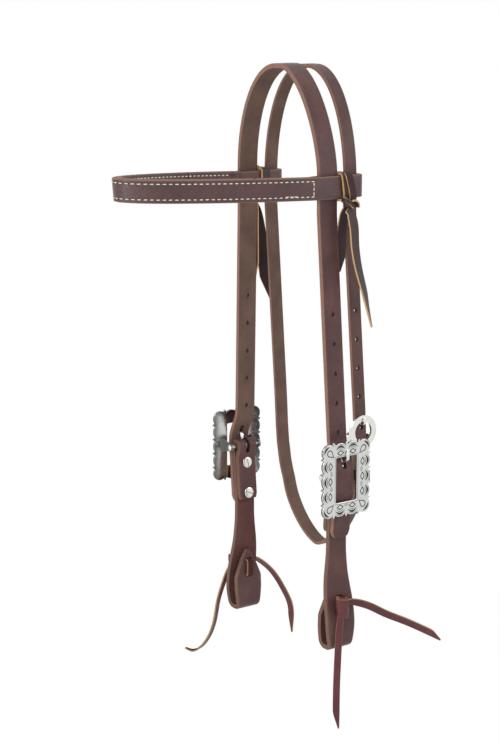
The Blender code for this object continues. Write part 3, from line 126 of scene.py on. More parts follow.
# Engraving. Petals: half length, height, fall at the ends and thickness. Eyes: half length and
# half depth. Rays: start, end and half widths. Corner fans: reach, thickness and swing in degrees.
PETAL_CUTS = (
    (0.0058, 0.0022, 0.0036, 0.00045), (0.0054, 0.0012, 0.0044, 0.0020),
    (0.0044, -0.0016, 0.0036, 0.0006))
EYE_DEPTH = 0.0055
EYE_CUTS = ((0.0037, 0.0023), (0.0025, 0.0014))
RAY_DEPTH = 0.0088
RAY_TURNS = (-38, -13, 13, 38)
RAY_CUT = (0.0012, 0.0036, 0.00012, 0.00026)
CORNER_LEAN = (0.74, 0.67)
CORNER_FANS = ((0.0050, 0.0018, 60), (0.0062, 0.0004, 74))
FAN_SET_BACK = 0.0003
# Corner drops, ahead of the lobe's middle: how much further each is, its radius and length
DROP_AHEAD = 0.0010
CORNER_DROPS = ((0.0, 0.0030, 0.0063), (0.0001, 0.0022, 0.0047))
# The points between scallops: depth of the root, reach of the shoulders, their half width, and tip
NUB_ROOT, NUB_SHOULDER, NUB_HALF, NUB_TIP = 0.0008, 0.0016, 0.0015, 0.0041
WINDOW_LINE = 0.0010
WINDOW_LINE_WIDTH = 0.00032
TONGUE_WIDTH = 0.0030
TONGUE_THICK = 0.0018
TONGUE_REACH = 0.0260
TONGUE_BEND_RISE = 0.0085
TONGUE_TIP_LENGTH = 0.0075
# How far along its tip a tongue narrows to which share of its width
TONGUE_TIP = ((0.4, 0.98), (0.75, 0.84), (0.92, 0.62), (1.0, 0.30))

# Cheek straps
CHEEK_THICK = 0.0044
CHEEK_OUTSET = 0.0086
CHEEK_SETTLE = 0.050
INNER_PLY = 0.049
LOOP_START = 0.083
LOOP_WIDEST = 0.136
LOOP_END = 0.154
LOOP_BULGE = 0.0067
LOOP_GAP = 0.0080
LOOP_FLAT = 0.0030
FLAP_TIP = 0.0975
FLAP_LEAN = 0.0020
CHEEK_FLARE_START = 0.060
CHEEK_FLARE_END = 0.121
LOOP_HALF_WIDTH = 0.0148
FLAP_HALF_WIDTH = 0.0138
FOOT_HALF_WIDTH = 0.0108
TIP_HALF_WIDTH = 0.0012
FOLD_SLOT_WIDTH = 0.0037
FOLD_SLOT_DROP = 0.0056
LACE_SLOT_UP = 0.1070
LACE_SLOT_LOW = 0.1216
LACE_SLOT_WIDTH = 0.0070
LACE_SLOT_HEIGHT = 0.0032

# Posts and screws
SCREW_HIGH = 0.0157
SCREW_LOW = 0.0436
POST_HEAD_RADIUS = 0.0046
POST_HEAD_THICK = 0.0010
POST_RADIUS = 0.0024
SCREW_HEAD_RADIUS = 0.0048
SCREW_HEAD_THICK = 0.0012
SCREW_SLOT_WIDTH = 0.0007
SCREW_SLOT_DEPTH = 0.0004
RECESS_DEPTH = 0.0014
# Heads of bars, posts and screws, as shares of their radius and thickness. A bar's run down from
# its top, a post's too, as depth, and a screw's up to its face.
BAR_DOME = ((0, 1), (0.55, 0.93), (0.85, 0.70), (1, 0.35), (1, 0))
POST_DOME = ((0, 0), (0.60, 0.05), (0.86, 0.22), (1, 0.60))
SCREW_DOME = ((1, 0.42), (0.93, 0.16), (0.78, 0.03), (0, 0))
# Which way each screw's slot happens to stand, in degrees
THROAT_SLOT_TURN = 62
CHEEK_SCREWS = (("upper", SCREW_HIGH, 78), ("lower", SCREW_LOW, 24))

# Throatlatch and its buckle
THROAT_WIDTH = 0.0127
THROAT_THICK = 0.0033
THROAT_INSET = 0.0013
THROAT_RISE = 0.095
THROAT_BACK = 0.0252
THROAT_SWEEP = 0.0163
THROAT_SWEEP_END = 0.335
THROAT_CURVE_START = 0.3575
THROAT_DROP = 0.4255
THROAT_FAR_OUTSET = 0.0010
THROAT_ROUNDNESS = 1.55
THROAT_BAR_DROP = 0.3170
THROAT_BAR_INSET = 0.0093
THROAT_BAR_RADIUS = 0.0016
THROAT_HOLE_RISE = 0.0125
THROAT_SLOT = 0.0100
THROAT_STEP_ABOVE = 0.0290
THROAT_STEP_CLEAR = 0.0040
THROAT_BILLET_END = 0.385
THROAT_INNER_PLY = 0.0270
THROAT_TIP_CUT = 0.0040
THROAT_SCREW = 0.0165
THROAT_FREE_HOLES = 4
FAR_LEG_EASE = 0.045
SMALL_POST_HEAD = 0.0038
SMALL_SCREW_HEAD = 0.0039
SHOE_RADIUS = 0.0146
SHOE_INNER = 0.0092
SHOE_THICK = 0.0022
SHOE_CENTRE_RISE = 0.0070
SHOE_GAP = 0.0006
SHOE_ARM_HEIGHT = 0.0075
SHOE_PAST_SIDE = math.radians(48)
THROAT_TONGUE_WIDTH = 0.0026
THROAT_TONGUE_REACH = 0.0200
THROAT_TONGUE_BEND = 0.0087
THROAT_TONGUE_TIP = 0.0045
KEEPER_DROP = 0.0345
KEEPER_WIDTH = 0.0100
KEEPER_THICK = 0.0020
KEEPER_SLACK = 0.0006
KEEPER_CORNER = 0.0018

# Browband
BROW_WIDTH = 0.01905
BROW_THICK = 0.0034
BROW_DROP = 0.0958
BROW_FAR_SAG = 0.0045
BROW_RISE = 0.0040
BROW_REACH = 0.1705
BROW_SIDE_HANDLE = 0.030
BROW_FRONT_HANDLE = 0.036
BROW_LEAN = math.radians(4)
BROW_SETTLE = 0.0115
BROW_RETURN = 0.064
BROW_SLACK = 0.0007
FOLD_PAST_THROAT = 0.0016
CROSS_STITCH_Y = -0.0160
CROSS_STITCH_SHARE = 0.62
STITCH_SHARE = 0.66
STITCH_TAPER = 0.45
STITCH_SINK = 0.9
STITCH_STAND = 0.35
BACK_STITCH_START = 0.055
BACK_STITCH_PITCH = 0.004

# Ties and laces
TIE_WIDTH = 0.0088
TIE_FACE_WIDTH = 0.0096
TIE_SKEW = 0.0030
TIE_BOW = 0.0004
TIE_THICK = 0.0022
TIE_CORNER = 0.0020
TIE_KNOT_WIDTH = 0.0090
TIE_KNOT_DEPTH = 0.0080
TIE_KNOT_HEIGHT = 0.0080
TIE_KNOT_SINK = 0.0016
TIE_TAIL_WIDTH = 0.0105
SHORT_TAIL_WIDTH = 0.0086
KNOT_SOFTNESS = 0.42
KNOT_WIDTH_SHARE = 0.74
DRAWN_IN_SHARE = 0.12
TAIL_THICK = 0.0016
TIP_WIDTH_SHARE = 0.20
LACE_TIP_SHARE = 0.14
TIE_TIP_SHARE = 0.26
LACE_WIDTH = 0.0058
LACE_THICK = 0.0022
LACE_CORNER = 0.0018
LACE_KNOT_WIDTH = 0.0130
LACE_KNOT_DEPTH = 0.0075
LACE_KNOT_HEIGHT = 0.0170
LACE_KNOT_STANDOFF = 0.0006
LACE_KNOT_FORWARD = 0.0022
LACE_WRAP_WIDTH = 0.0062
# Each wrap of a lace's knot: height above its middle, share of its width and tilt
LACE_WRAPS = ((0.0044, 1.0, 0.22), (-0.0006, 0.94, 0.46), (-0.0056, 0.80, 0.34))
DRAWN_THICK = 0.8 * TIE_THICK
WRAP_STEPS = 24
WRAP_SQUARENESS = 0.7
TIE_WRAP_TILT = 0.75
TIE_WRAP_RISE = 0.0004
TIE_WRAP_HALF_DEPTH = TIE_KNOT_DEPTH / 2 - 0.0004
TIE_WRAP_HALF_WIDTH = TIE_KNOT_WIDTH / 2 - 0.0003
LACE_WRAP_HALF_DEPTH = LACE_KNOT_DEPTH / 2 - 0.0010
LACE_WRAP_HALF_WIDTH = LACE_KNOT_WIDTH / 2 - 0.0008
TIE_CORE = (TIE_KNOT_DEPTH * 0.8, TIE_KNOT_WIDTH * 0.8, TIE_KNOT_HEIGHT)
LACE_CORE = (LACE_KNOT_DEPTH * 0.70, LACE_KNOT_WIDTH * 0.80, LACE_KNOT_HEIGHT * 0.94)
OVER_WIDTH = 0.0068
CURL_WIDTH = 0.0044
# The short end that curls out of the near tie's knot, from where it leaves the knot
CURL_STEPS = ((0, 0, 0), (0.0010, 0.0024, 0), (0.0012, 0.0046, -0.0018), (0.0008, 0.0058, -0.0050))

# Finer or coarser curves
ARC_STEPS = 10
ARCH_STEPS = 30
EASE_STEPS = 14
BROW_STEPS = 40
ROUND_SIDES = 48
HEAD_SIDES = 36
TAIL_STEPS = 26

# Camera, as fitted to the photo
CAMERA_PLACE = (1.25672, -0.97223, 0.07201)
CAMERA_TURN = math.radians(53.39)
CAMERA_TILT = math.radians(11.98)
FOCAL_PIXELS = 1858.67
PHOTO_HEIGHT = 751

# Lights: name, place, target, size and watts. Without a target a light aims at the middle.
LIGHTS = (
    ("key_light", (1.5, -1.9, 1.2), None, 1.3, 34),
    ("fill_light", (1.7, 1.5, 0.5), None, 1.2, 12),
    ("far_light", (-1.8, -0.9, 0.9), None, 1.2, 14),
    ("front_light", (0.15, -2.0, -0.5), (0.02, -0.16, -0.1), 1.1, 17),
    ("top_light", (0.0, 0.3, 1.9), None, 1.4, 15),
)

SKY_STRENGTH = 0.55
FLOOR_RADIUS = 9.0
FLOOR_SIDES = 96
# The floor's share of plain white where the headstall hangs, and from and to where it grows
FLOOR_GLOW = 0.60
FLOOR_FADE = (0.30, 0.95)

# Sizes worked out from the ones above
BAR_X = ARCH_HALF + BAR_OUTSET
BAR_Z = -BAR_DROP
CHEEK_X = ARCH_HALF + CHEEK_OUTSET
THROAT_HALF = ARCH_HALF - THROAT_INSET
THROAT_FAR_HALF = THROAT_HALF + THROAT_FAR_OUTSET
THROAT_BAR_X = THROAT_HALF - THROAT_BAR_INSET
FOLD_RADIUS = BAR_RADIUS + FIT + CHEEK_THICK / 2
INNER_SETTLE = SCREW_HIGH - SCREW_HEAD_RADIUS - 2 * FIT
THROAT_BAR_Z = -THROAT_BAR_DROP
THROAT_FOLD_RADIUS = THROAT_BAR_RADIUS + FIT + THROAT_THICK / 2
SWEEP_END_PAST_BAR = THROAT_SWEEP_END - THROAT_BAR_DROP
THROAT_SETTLE = THROAT_SCREW - SMALL_SCREW_HEAD - 2 * FIT
LOOP_RADIUS = (LOOP_GAP + CHEEK_THICK - LOOP_FLAT) / 2
LOOP_CENTRE_X = CHEEK_X + LOOP_BULGE - LOOP_RADIUS - LOOP_FLAT / 2
FLAP_X = LOOP_CENTRE_X - LOOP_RADIUS - LOOP_FLAT / 2
LOOP_ARC_Z = BAR_Z - LOOP_END + CHEEK_THICK / 2 + LOOP_RADIUS
CROWN_INSIDE = ARCH_HALF - CROWN_THICK
THROAT_INSIDE = THROAT_HALF - THROAT_THICK
BROW_OUTER_X = ARCH_HALF + FIT + BROW_THICK / 2
BROW_INNER_X = THROAT_INSIDE - BROW_SLACK - BROW_THICK / 2
BROW_PLY = BROW_THICK + FIT
BROW_START = -CROWN_WIDTH / 2 - FIT
TIE_Y = (CROWN_WIDTH / 2 + THROAT_BACK - THROAT_WIDTH / 2) / 2

SIDES = ((1, "near"), (-1, "far"))
FORWARD = Vector((0, -1, 0))
UP = Vector((0, 0, 1))
OUT = Vector((1, 0, 0))
# Turns a flat shape so that it stands across X
UPRIGHT = Matrix(((0, 0, 1, 0), (1, 0, 0, 0), (0, 1, 0, 0), (0, 0, 0, 1)))

# Free ends: name, body it rides on, points chosen along it, width direction at its start and at
# its end, width, and how far to one side its point is cut
FREE_ENDS = (
    ("near_tie_tail_long", "browband",
     ((0.0670, 0.0126, -0.1136), (0.0682, 0.0150, -0.1165), (0.0705, 0.0170, -0.1280),
      (0.0720, 0.0174, -0.1457), (0.0722, 0.0211, -0.1637), (0.0722, 0.0281, -0.1852),
      (0.0722, 0.0368, -0.2145)),
     (-0.05, 0.99, -0.12), (-0.60, 0.76, -0.19), TIE_TAIL_WIDTH, -0.6),
    ("near_tie_tail_short", "browband",
     ((0.0625, 0.0155, -0.1135), (0.0612, 0.0148, -0.1170), (0.0586, 0.0144, -0.1300),
      (0.0566, 0.0152, -0.1480), (0.0552, 0.0160, -0.1680)),
     (0.25, 0.97, 0.0), (0.25, 0.97, 0.0), SHORT_TAIL_WIDTH, -0.4),
    ("far_tie_tail_long", "browband",
     ((-0.0672, 0.0140, -0.1181), (-0.0676, 0.0152, -0.1222), (-0.0686, 0.0205, -0.1340),
      (-0.0685, 0.0245, -0.1520), (-0.0682, 0.0275, -0.1780), (-0.0680, 0.0330, -0.2140)),
     (0.30, 0.95, 0.0), (0.30, 0.95, 0.0), TIE_TAIL_WIDTH, 0.9),
    ("far_tie_tail_short", "browband",
     ((-0.0618, 0.0134, -0.1180), (-0.0616, 0.0124, -0.1217), (-0.0606, 0.0116, -0.1340),
      (-0.0604, 0.0116, -0.1570), (-0.0603, 0.0118, -0.1920)),
     (-1.0, 0.0, 0.0), (-1.0, 0.0, 0.0), TIE_TAIL_WIDTH, 0.4),
    ("near_lace_tail_out", "near_cheek",
     ((0.0790, 0.0072, -0.4525), (0.0794, 0.0140, -0.4534), (0.0832, 0.0280, -0.4588),
      (0.0875, 0.0450, -0.4688), (0.0920, 0.0640, -0.4785), (0.0965, 0.0830, -0.4892),
      (0.0990, 0.1010, -0.5000)),
     (0.25, -0.20, 0.94), (0.60, 0.10, 0.79), 1.22 * LACE_WIDTH, -0.9),
    ("near_lace_tail_down", "near_cheek",
     ((0.0792, 0.0000, -0.4622), (0.0790, -0.0015, -0.4815), (0.0790, -0.0027, -0.5032),
      (0.0790, -0.0037, -0.5305), (0.0790, -0.0038, -0.5660)),
     (0.60, 0.80, 0.0), (0.60, 0.80, 0.0), 1.06 * LACE_WIDTH, 0.9),
    ("far_lace_tail_rear", "far_cheek",
     ((-0.0790, 0.0114, -0.4520), (-0.0792, 0.0145, -0.4528), (-0.0796, 0.0250, -0.4560),
      (-0.0800, 0.0360, -0.4632), (-0.0800, 0.0480, -0.4750), (-0.0800, 0.0600, -0.4930),
      (-0.0800, 0.0692, -0.5130), (-0.0800, 0.0698, -0.5390)),
     (0.84, 0.20, 0.50), (0.90, 0.42, 0.10), LACE_WIDTH, 0.5),
    ("far_lace_tail_front", "far_cheek",
     ((-0.0790, -0.0032, -0.4600), (-0.0791, -0.0058, -0.4635), (-0.0800, -0.0092, -0.4730),
      (-0.0800, -0.0155, -0.4890), (-0.0800, -0.0200, -0.5090), (-0.0800, -0.0260, -0.5220),
      (-0.0800, -0.0350, -0.5305), (-0.0800, -0.0450, -0.5325), (-0.0800, -0.0530, -0.5290)),
     (-0.30, 0.90, -0.60), (-0.60, 0.95, 0.0), LACE_WIDTH, 0.5),
)


def length_property(name, description, value, low=0.0001):
    return bpy.props.FloatProperty(
        name=name, description=description, default=value, min=low, unit="LENGTH")


class HeadstallSizes(bpy.types.PropertyGroup):
    """Sizes of the finish that a maker would change."""

    leather_edge: length_property("Leather edge", "Rounding of a finished strap edge", 0.0008)
    thong_edge: length_property("Thong edge", "Rounding of a cut thong or lace edge", 0.00035)
    metal_edge: length_property("Metal edge", "Rounding of cast and turned metal", 0.0004)
    engraving_depth: length_property(
        "Engraving depth", "Depth of the cuts in the buckle plates", 0.00050)
    stitch_pitch: length_property(
        "Stitch pitch", "Distance from one browband stitch to the next", 0.0050, 0.001)
    stitch_inset: length_property(
        "Stitch inset", "Distance of the stitch rows from the browband's edges", 0.0032, 0.001)
    thread_radius: length_property(
        "Thread radius", "Half the thickness of the stitching thread", 0.00048)
    hanging_height: length_property(
        "Hanging height", "Gap between the lowest lace and the floor", 0.10, 0.0)


def colour_property(name, description, value):
    return bpy.props.FloatVectorProperty(
        name=name, description=description, default=value, size=3, min=0.0, max=1.0,
        subtype="COLOR")


class HeadstallColours(bpy.types.PropertyGroup):
    """Colours of the leathers, the metals and the thread."""

    strap: colour_property("Strap", "Grain of the crown and cheek straps", (0.076, 0.031, 0.029))
    throat: colour_property("Throatlatch", "Grain side of the throatlatch", (0.076, 0.035, 0.032))
    band: colour_property("Browband", "Grain side of the browband", (0.060, 0.023, 0.023))
    flesh: colour_property("Flesh side", "Suede inner side of the straps", (0.122, 0.075, 0.058))
    edge: colour_property("Strap edge", "Burnished edge of the straps", (0.200, 0.105, 0.075))
    thong: colour_property("Tie thong", "Face of the browband ties", (0.034, 0.018, 0.019))
    lace: colour_property("Bit lace", "Face of the laces of the bit loops", (0.089, 0.021, 0.025))
    raw: colour_property("Raw edge", "Cut edge of thongs and laces", (0.480, 0.290, 0.130))
    silver: colour_property("Silver", "Engraved buckle plates", (0.64, 0.65, 0.635))
    tarnish: colour_property("Tarnish", "Blackened cuts of the engraving", (0.030, 0.032, 0.034))
    nickel: colour_property("Nickel", "Posts, screws, bars and tongues", (0.76, 0.75, 0.71))
    thread: colour_property("Thread", "Stitching of the browband", (0.70, 0.64, 0.52))
    floor: colour_property("Floor", "The pale studio floor", (0.90, 0.90, 0.89))


def sizes():
    return bpy.context.scene.headstall_sizes


def colours():
    return bpy.context.scene.headstall_colours


def ease(share):
    """Smooth step from 0 to 1."""
    share = min(max(share, 0.0), 1.0)
    return share * share * (3 - 2 * share)


def ramp(value, start, end):
    """0 at start, 1 at end, straight between them."""
    return min(max((value - start) / (end - start), 0.0), 1.0)


def between(start, end, count):
    """Evenly spaced values, with both ends."""
    return [start + (end - start) * i / count for i in range(count + 1)]


def arc(centre, radius, start, end, count):
    """Points on an arc, with both ends."""
    return [(centre[0] + radius * math.cos(turn), centre[1] + radius * math.sin(turn))
            for turn in between(start, end, count)]


def rounded_rectangle(low, high, radius, turns=6):
    """Points of a rectangle with round corners, anticlockwise from its upper right corner."""
    points = []
    corners = ((high[0], high[1]), (low[0], high[1]), (low[0], low[1]), (high[0], low[1]))
    for quarter, (x, y) in enumerate(corners):
        centre_x = x + (radius if x == low[0] else -radius)
        centre_y = y + (radius if y == low[1] else -radius)
        start = quarter * math.pi / 2
        points += arc((centre_x, centre_y), radius, start, start + math.pi / 2, turns)
    return points


# Places that several pieces share, for the near side


def cheek_x(z):
    """Middle of the cheek's outer ply at a height."""
    at_bar = BAR_X + FOLD_RADIUS
    settled = at_bar + (CHEEK_X - at_bar) * ramp(-z, BAR_DROP, BAR_DROP + CHEEK_SETTLE)
    return settled + LOOP_BULGE * ease(ramp(-z, BAR_DROP + LOOP_START, BAR_DROP + LOOP_WIDEST))


def cheek_slope():
    """How far the cheek's outer ply comes in for each metre down, below the bar."""
    return (BAR_X + FOLD_RADIUS - CHEEK_X) / CHEEK_SETTLE


def across_slope(size):
    """A size square to the sloping ply, measured level."""
    return size * math.hypot(1, cheek_slope())


def inner_ply_x(z):
    """Middle of the short ply turned down behind the bar."""
    touching = cheek_x(z) - across_slope(CHEEK_THICK + FIT)
    at_bar = BAR_X - FOLD_RADIUS
    return at_bar + (touching - at_bar) * ramp(-z, BAR_DROP, BAR_DROP + INNER_SETTLE)


def flap_x(z):
    """Middle of the pointed flap that closes the bit loop."""
    return FLAP_X + FLAP_LEAN * ease(ramp(z, LOOP_ARC_Z, BAR_Z - FLAP_TIP))


def crown_inside_x(z):
    """Inner face of the crown strap's leg at a height."""
    step_top = BAR_Z + STEP_ABOVE_BAR
    step_low = BAR_Z + STEP_CLEAR_OF_BAR
    leg = CROWN_INSIDE + LEG_SPREAD * ramp(-z, LEG_STRAIGHT, -step_top)
    over_fold = cheek_x(min(z, BAR_Z)) + across_slope(CHEEK_THICK / 2 + FIT)
    return leg + (over_fold - leg) * ease(ramp(-z, -step_top, -step_low))


def crown_y(z):
    return LEG_LEAN * ramp(-z, LEG_STRAIGHT, BAR_DROP - STEP_ABOVE_BAR)


def throat_y(z):
    return THROAT_BACK + THROAT_SWEEP * ramp(-z, LEG_STRAIGHT, THROAT_SWEEP_END)


def throat_loop_x(z, top=THROAT_BAR_X + THROAT_FOLD_RADIUS):
    """Middle of the strap round the underside of the throat, at a height, on the near side."""
    low = THROAT_DROP - THROAT_THICK / 2
    down = ramp(-z, THROAT_CURVE_START, low)
    return top * max(1 - down**THROAT_ROUNDNESS, 0.0) ** (1 / THROAT_ROUNDNESS)


def throat_loop_z(angle):
    """Height on the curve under the throat, 0 at its start and a quarter turn at its bottom."""
    low = THROAT_DROP - THROAT_THICK / 2
    return -THROAT_CURVE_START - (low - THROAT_CURVE_START) * math.sin(angle)


def throat_over_loop(z):
    """Middle of the billet where it follows the outer side of the curve, as (x, z)."""
    step = THROAT_THICK / 8
    outward = Vector((2 * step, throat_loop_x(z + step) - throat_loop_x(z - step))).normalized()
    off = THROAT_THICK + FIT
    return throat_loop_x(z) + outward.x * off, z - outward.y * off


def slanted(side):
    """Direction square to the sloping plies, pointing away from the horse."""
    return Vector((side, 0, -cheek_slope())).normalized()


def screw_seat(side, drop):
    """Where a screw's axis leaves the outer face of the cheek."""
    z = BAR_Z - drop
    return Vector((side * cheek_x(z), LEG_LEAN, z)) + slanted(side) * (CHEEK_THICK / 2)


def throat_seat():
    """Where the axis of the throatlatch's screw leaves its outer face."""
    z = THROAT_BAR_Z - THROAT_SCREW
    return Vector((throat_loop_x(z) + THROAT_THICK / 2, throat_y(z), z))


def plate_back_x():
    """The plate's back clears the billet where it passes behind the lower rail."""
    low_rail = BAR_Z - WINDOW_HEIGHT / 2
    return crown_inside_x(low_rail) + across_slope(CROWN_THICK) + PLATE_GAP


def throat_billet_x(z):
    """Inner face of the throatlatch's billet at a height."""
    step_top = THROAT_BAR_Z + THROAT_STEP_ABOVE
    step_low = THROAT_BAR_Z + THROAT_STEP_CLEAR
    over_fold = throat_loop_x(min(z, THROAT_BAR_Z)) + THROAT_THICK / 2 + FIT
    return THROAT_INSIDE + (over_fold - THROAT_INSIDE) * ease(ramp(-z, -step_top, -step_low))


def shoe_back_x():
    return throat_billet_x(THROAT_BAR_Z) + THROAT_THICK + SHOE_GAP


def brow_level(side):
    """Height of the browband's middle where it meets the straps."""
    return -BROW_DROP - (BROW_FAR_SAG if side < 0 else 0.0)


def brow_frame(t, side):
    """Middle of the outer ply, outward normal and width direction at a share of its curve."""
    start = Vector((BROW_OUTER_X, BROW_START))
    handle = Vector((BROW_OUTER_X, BROW_START - BROW_SIDE_HANDLE))
    front_handle = Vector((BROW_FRONT_HANDLE, -BROW_REACH))
    front = Vector((0.0, -BROW_REACH))
    place = ((1 - t) ** 3 * start + 3 * (1 - t) ** 2 * t * handle
             + 3 * (1 - t) * t**2 * front_handle + t**3 * front)
    along = (3 * (1 - t) ** 2 * (handle - start) + 6 * (1 - t) * t * (front_handle - handle)
             + 3 * t**2 * (front - front_handle)).normalized()
    forward = ramp(-place.y, -BROW_START, BROW_REACH)
    lean = BROW_LEAN * forward
    level = Vector((side * -along.y, along.x, 0))
    outward = level * math.cos(lean) + Vector((0, 0, -math.sin(lean)))
    across = level * math.sin(lean) + Vector((0, 0, math.cos(lean)))
    z = brow_level(side) + (BROW_RISE - BROW_DROP - brow_level(side)) * forward
    return Vector((side * place.x, place.y, z)), outward, across


def smooth_points(points, steps):
    """Evenly read points of one smooth curve through the given points."""
    points = [Vector(point) for point in points]
    padded = [2 * points[0] - points[1], *points, 2 * points[-1] - points[-2]]
    fine = []
    for before, start, end, after in zip(padded, padded[1:], padded[2:], padded[3:]):
        for i in range(steps):
            t = i / steps
            fine.append(
                0.5 * ((2 * start) + (end - before) * t
                       + (2 * before - 5 * start + 4 * end - after) * t**2
                       + (3 * start - before - 3 * end + after) * t**3)
            )
    fine.append(points[-1])
    runs = [0.0]
    for start, end in zip(fine, fine[1:]):
        runs.append(runs[-1] + (end - start).length)
    read = []
    for goal in between(0.0, runs[-1], steps):
        after = next((i for i, run in enumerate(runs) if run >= goal), len(runs) - 1)
        before = max(after - 1, 0)
        span = runs[after] - runs[before]
        read.append(fine[before].lerp(fine[after], (goal - runs[before]) / span if span else 0.0))
    return read


# Materials


class Wire:
    """An output of a material's node. Arithmetic on it adds Math nodes."""

    def __init__(self, recipe, socket):
        self.recipe = recipe
        self.socket = socket

    def maths(self, operation, first, second):
        return self.recipe.node("ShaderNodeMath", {"operation": operation}, {0: first, 1: second})

    def __add__(self, other):
        return self.maths("ADD", self, other)

    def __sub__(self, other):
        return self.maths("SUBTRACT", self, other)

    def __mul__(self, other):
        return self.maths("MULTIPLY", self, other)

    def __rsub__(self, other):
        return self.maths("SUBTRACT", other, self)

    def __lt__(self, other):
        return self.maths("LESS_THAN", self, other)

    def __abs__(self):
        return self.maths("ABSOLUTE", self, 0.0)

    __radd__ = __add__
    __rmul__ = __mul__

    def largest(self, other):
        return self.maths("MAXIMUM", self, other)


class Recipe:
    """One material and the nodes that make it."""

    def __init__(self, name):
        self.material = bpy.data.materials.new(name)
        self.material.use_nodes = True
        self.tree = self.material.node_tree
        self.shader = self.tree.nodes["Principled BSDF"]
        self.place = self.node("ShaderNodeTexCoord", output="Object")

    def node(self, kind, settings=None, sockets=None, output=0):
        made = self.tree.nodes.new(kind)
        for key, value in (settings or {}).items():
            if key == "stops":
                while len(made.color_ramp.elements) < len(value):
                    made.color_ramp.elements.new(1.0)
                for element, (position, colour) in zip(made.color_ramp.elements, value):
                    element.position = position
                    element.color = (*colour, 1)
            else:
                setattr(made, key, value)
        for key, value in (sockets or {}).items():
            self.plug(made.inputs[key], value)
        return Wire(self, made.outputs[output])

    def plug(self, socket, value):
        if isinstance(value, Wire):
            self.tree.links.new(value.socket, socket)
        elif socket.type == "RGBA" and len(value) == 3:
            socket.default_value = (*value, 1)
        else:
            socket.default_value = value

    def set(self, **values):
        for name, value in values.items():
            self.plug(self.shader.inputs[name.replace("_", " ")], value)

    def noise(self, scale, detail=2.0, place=None, distortion=0.0):
        return self.node(
            "ShaderNodeTexNoise", {},
            {"Vector": place or self.place, "Scale": scale, "Detail": detail,
             "Distortion": distortion}, output="Fac")

    def cells(self, scale):
        return self.node(
            "ShaderNodeTexVoronoi", {"feature": "DISTANCE_TO_EDGE"},
            {"Vector": self.place, "Scale": scale}, output="Distance")

    def stretched(self, scale):
        """Object coordinates scaled differently along each axis."""
        return self.node("ShaderNodeMapping", {}, {"Vector": self.place, "Scale": scale})

    def across(self):
        """0 in the middle of a strap and 1 at its edges."""
        laid = self.node("ShaderNodeUVMap", {"uv_map": "laid"})
        return abs(self.node("ShaderNodeSeparateXYZ", {}, {"Vector": laid}, output="X"))

    def height(self, axis):
        return self.node("ShaderNodeSeparateXYZ", {}, {"Vector": self.place}, output=axis)

    def step(self, value, low, high):
        """0 below low, 1 above high, smooth between them."""
        return self.node(
            "ShaderNodeMapRange", {"interpolation_type": "SMOOTHSTEP"},
            {"Value": value, "From Min": low, "From Max": high})

    def mix(self, share, first, second):
        return self.node(
            "ShaderNodeMix", {"data_type": "RGBA"}, {0: share, 6: first, 7: second}, output=2)

    def bump(self, value, distance, strength):
        return self.node(
            "ShaderNodeBump", {}, {"Height": value, "Distance": distance, "Strength": strength})


def shade(colour, factor):
    return tuple(min(channel * factor, 1.0) for channel in colour)


def grain_leather(name, colour, roughness=0.40, stitched=False):
    """Oiled strap leather: fine pores, cloudy dye, a paler burnish towards the edges."""
    r = Recipe(name)
    clouds = r.noise(38.0, 4.0, distortion=0.4)
    mottle = r.noise(310.0, 3.0)
    pores = r.cells(1650.0)
    grain = r.noise(2600.0, 2.0)
    across = r.across()
    dye_and_groove_shade = r.mix(r.step(clouds, 0.30, 0.72), shade(colour, 0.80), shade(colour, 1.22))
    dye_and_groove_shade = r.mix(r.step(mottle, 0.38, 0.70) * 0.32, dye_and_groove_shade, shade(colour, 0.62))
    worn = r.step(across + (mottle - 0.5) * 0.10, 0.84, 1.02)
    dye_and_groove_shade = r.mix(worn * 0.42, dye_and_groove_shade, colours().edge)
    height = r.step(pores, 0.0, 0.16) * 0.55 + grain * 0.30 + mottle * 0.55
    if stitched:
        rows = 1 - 2 * sizes().stitch_inset / BROW_WIDTH
        in_row = 1 - r.step(abs(across - rows), 0.02, 0.10)
        in_row = in_row * (r.height("Y") < CROSS_STITCH_Y)
        # Painted shade: the stitch rows are darkened as if shaded in their grooves, and the bump
        # sinks them.
        dye_and_groove_shade = r.mix(in_row * 0.75, dye_and_groove_shade, shade(colour, 0.36))
        height = height - in_row * 3.0
    r.set(Base_Color=dye_and_groove_shade, Roughness=(roughness - 0.07) + mottle * 0.16 + worn * 0.06,
          Normal=r.bump(height, 0.00012, 0.55), Specular_IOR_Level=0.50 if stitched else 0.30)
    return r.material


def flesh_leather(name, colour):
    """The suede side, with loose fibres that run along the strap."""
    r = Recipe(name)
    clouds = r.noise(52.0, 3.0)
    nap = r.noise(1.0, 3.0, place=r.stretched((1500.0, 1500.0, 420.0)))
    fibres = r.noise(900.0, 4.0, distortion=1.2)
    across = r.across()
    tone = r.mix(r.step(clouds, 0.30, 0.70), shade(colour, 0.84), shade(colour, 1.16))
    tone = r.mix(r.step(nap, 0.35, 0.75) * 0.45, tone, shade(colour, 0.66))
    tone = r.mix(r.step(across, 0.88, 1.0) * 0.40, tone, shade(colour, 0.62))
    r.set(Base_Color=tone, Roughness=0.66 + fibres * 0.20,
          Normal=r.bump(nap * 0.6 + fibres * 0.6, 0.00025, 0.6), Specular_IOR_Level=0.15)
    return r.material


def edge_leather(name, colour, fuzz=0.30):
    """A cut edge: layered fibres, darker in streaks."""
    r = Recipe(name)
    layers = r.noise(1.0, 2.0, place=r.stretched((1900.0, 1900.0, 240.0)))
    specks = r.noise(1300.0, 3.0)
    tone = r.mix(r.step(layers, 0.30, 0.80), shade(colour, 1.06), shade(colour, 0.80))
    tone = r.mix(r.step(specks, 0.52, 0.80) * fuzz, tone, shade(colour, 0.40))
    r.set(Base_Color=tone, Roughness=0.50 + specks * 0.20,
          Normal=r.bump(layers + specks * 0.5, 0.00015, 0.5), Specular_IOR_Level=0.25)
    return r.material


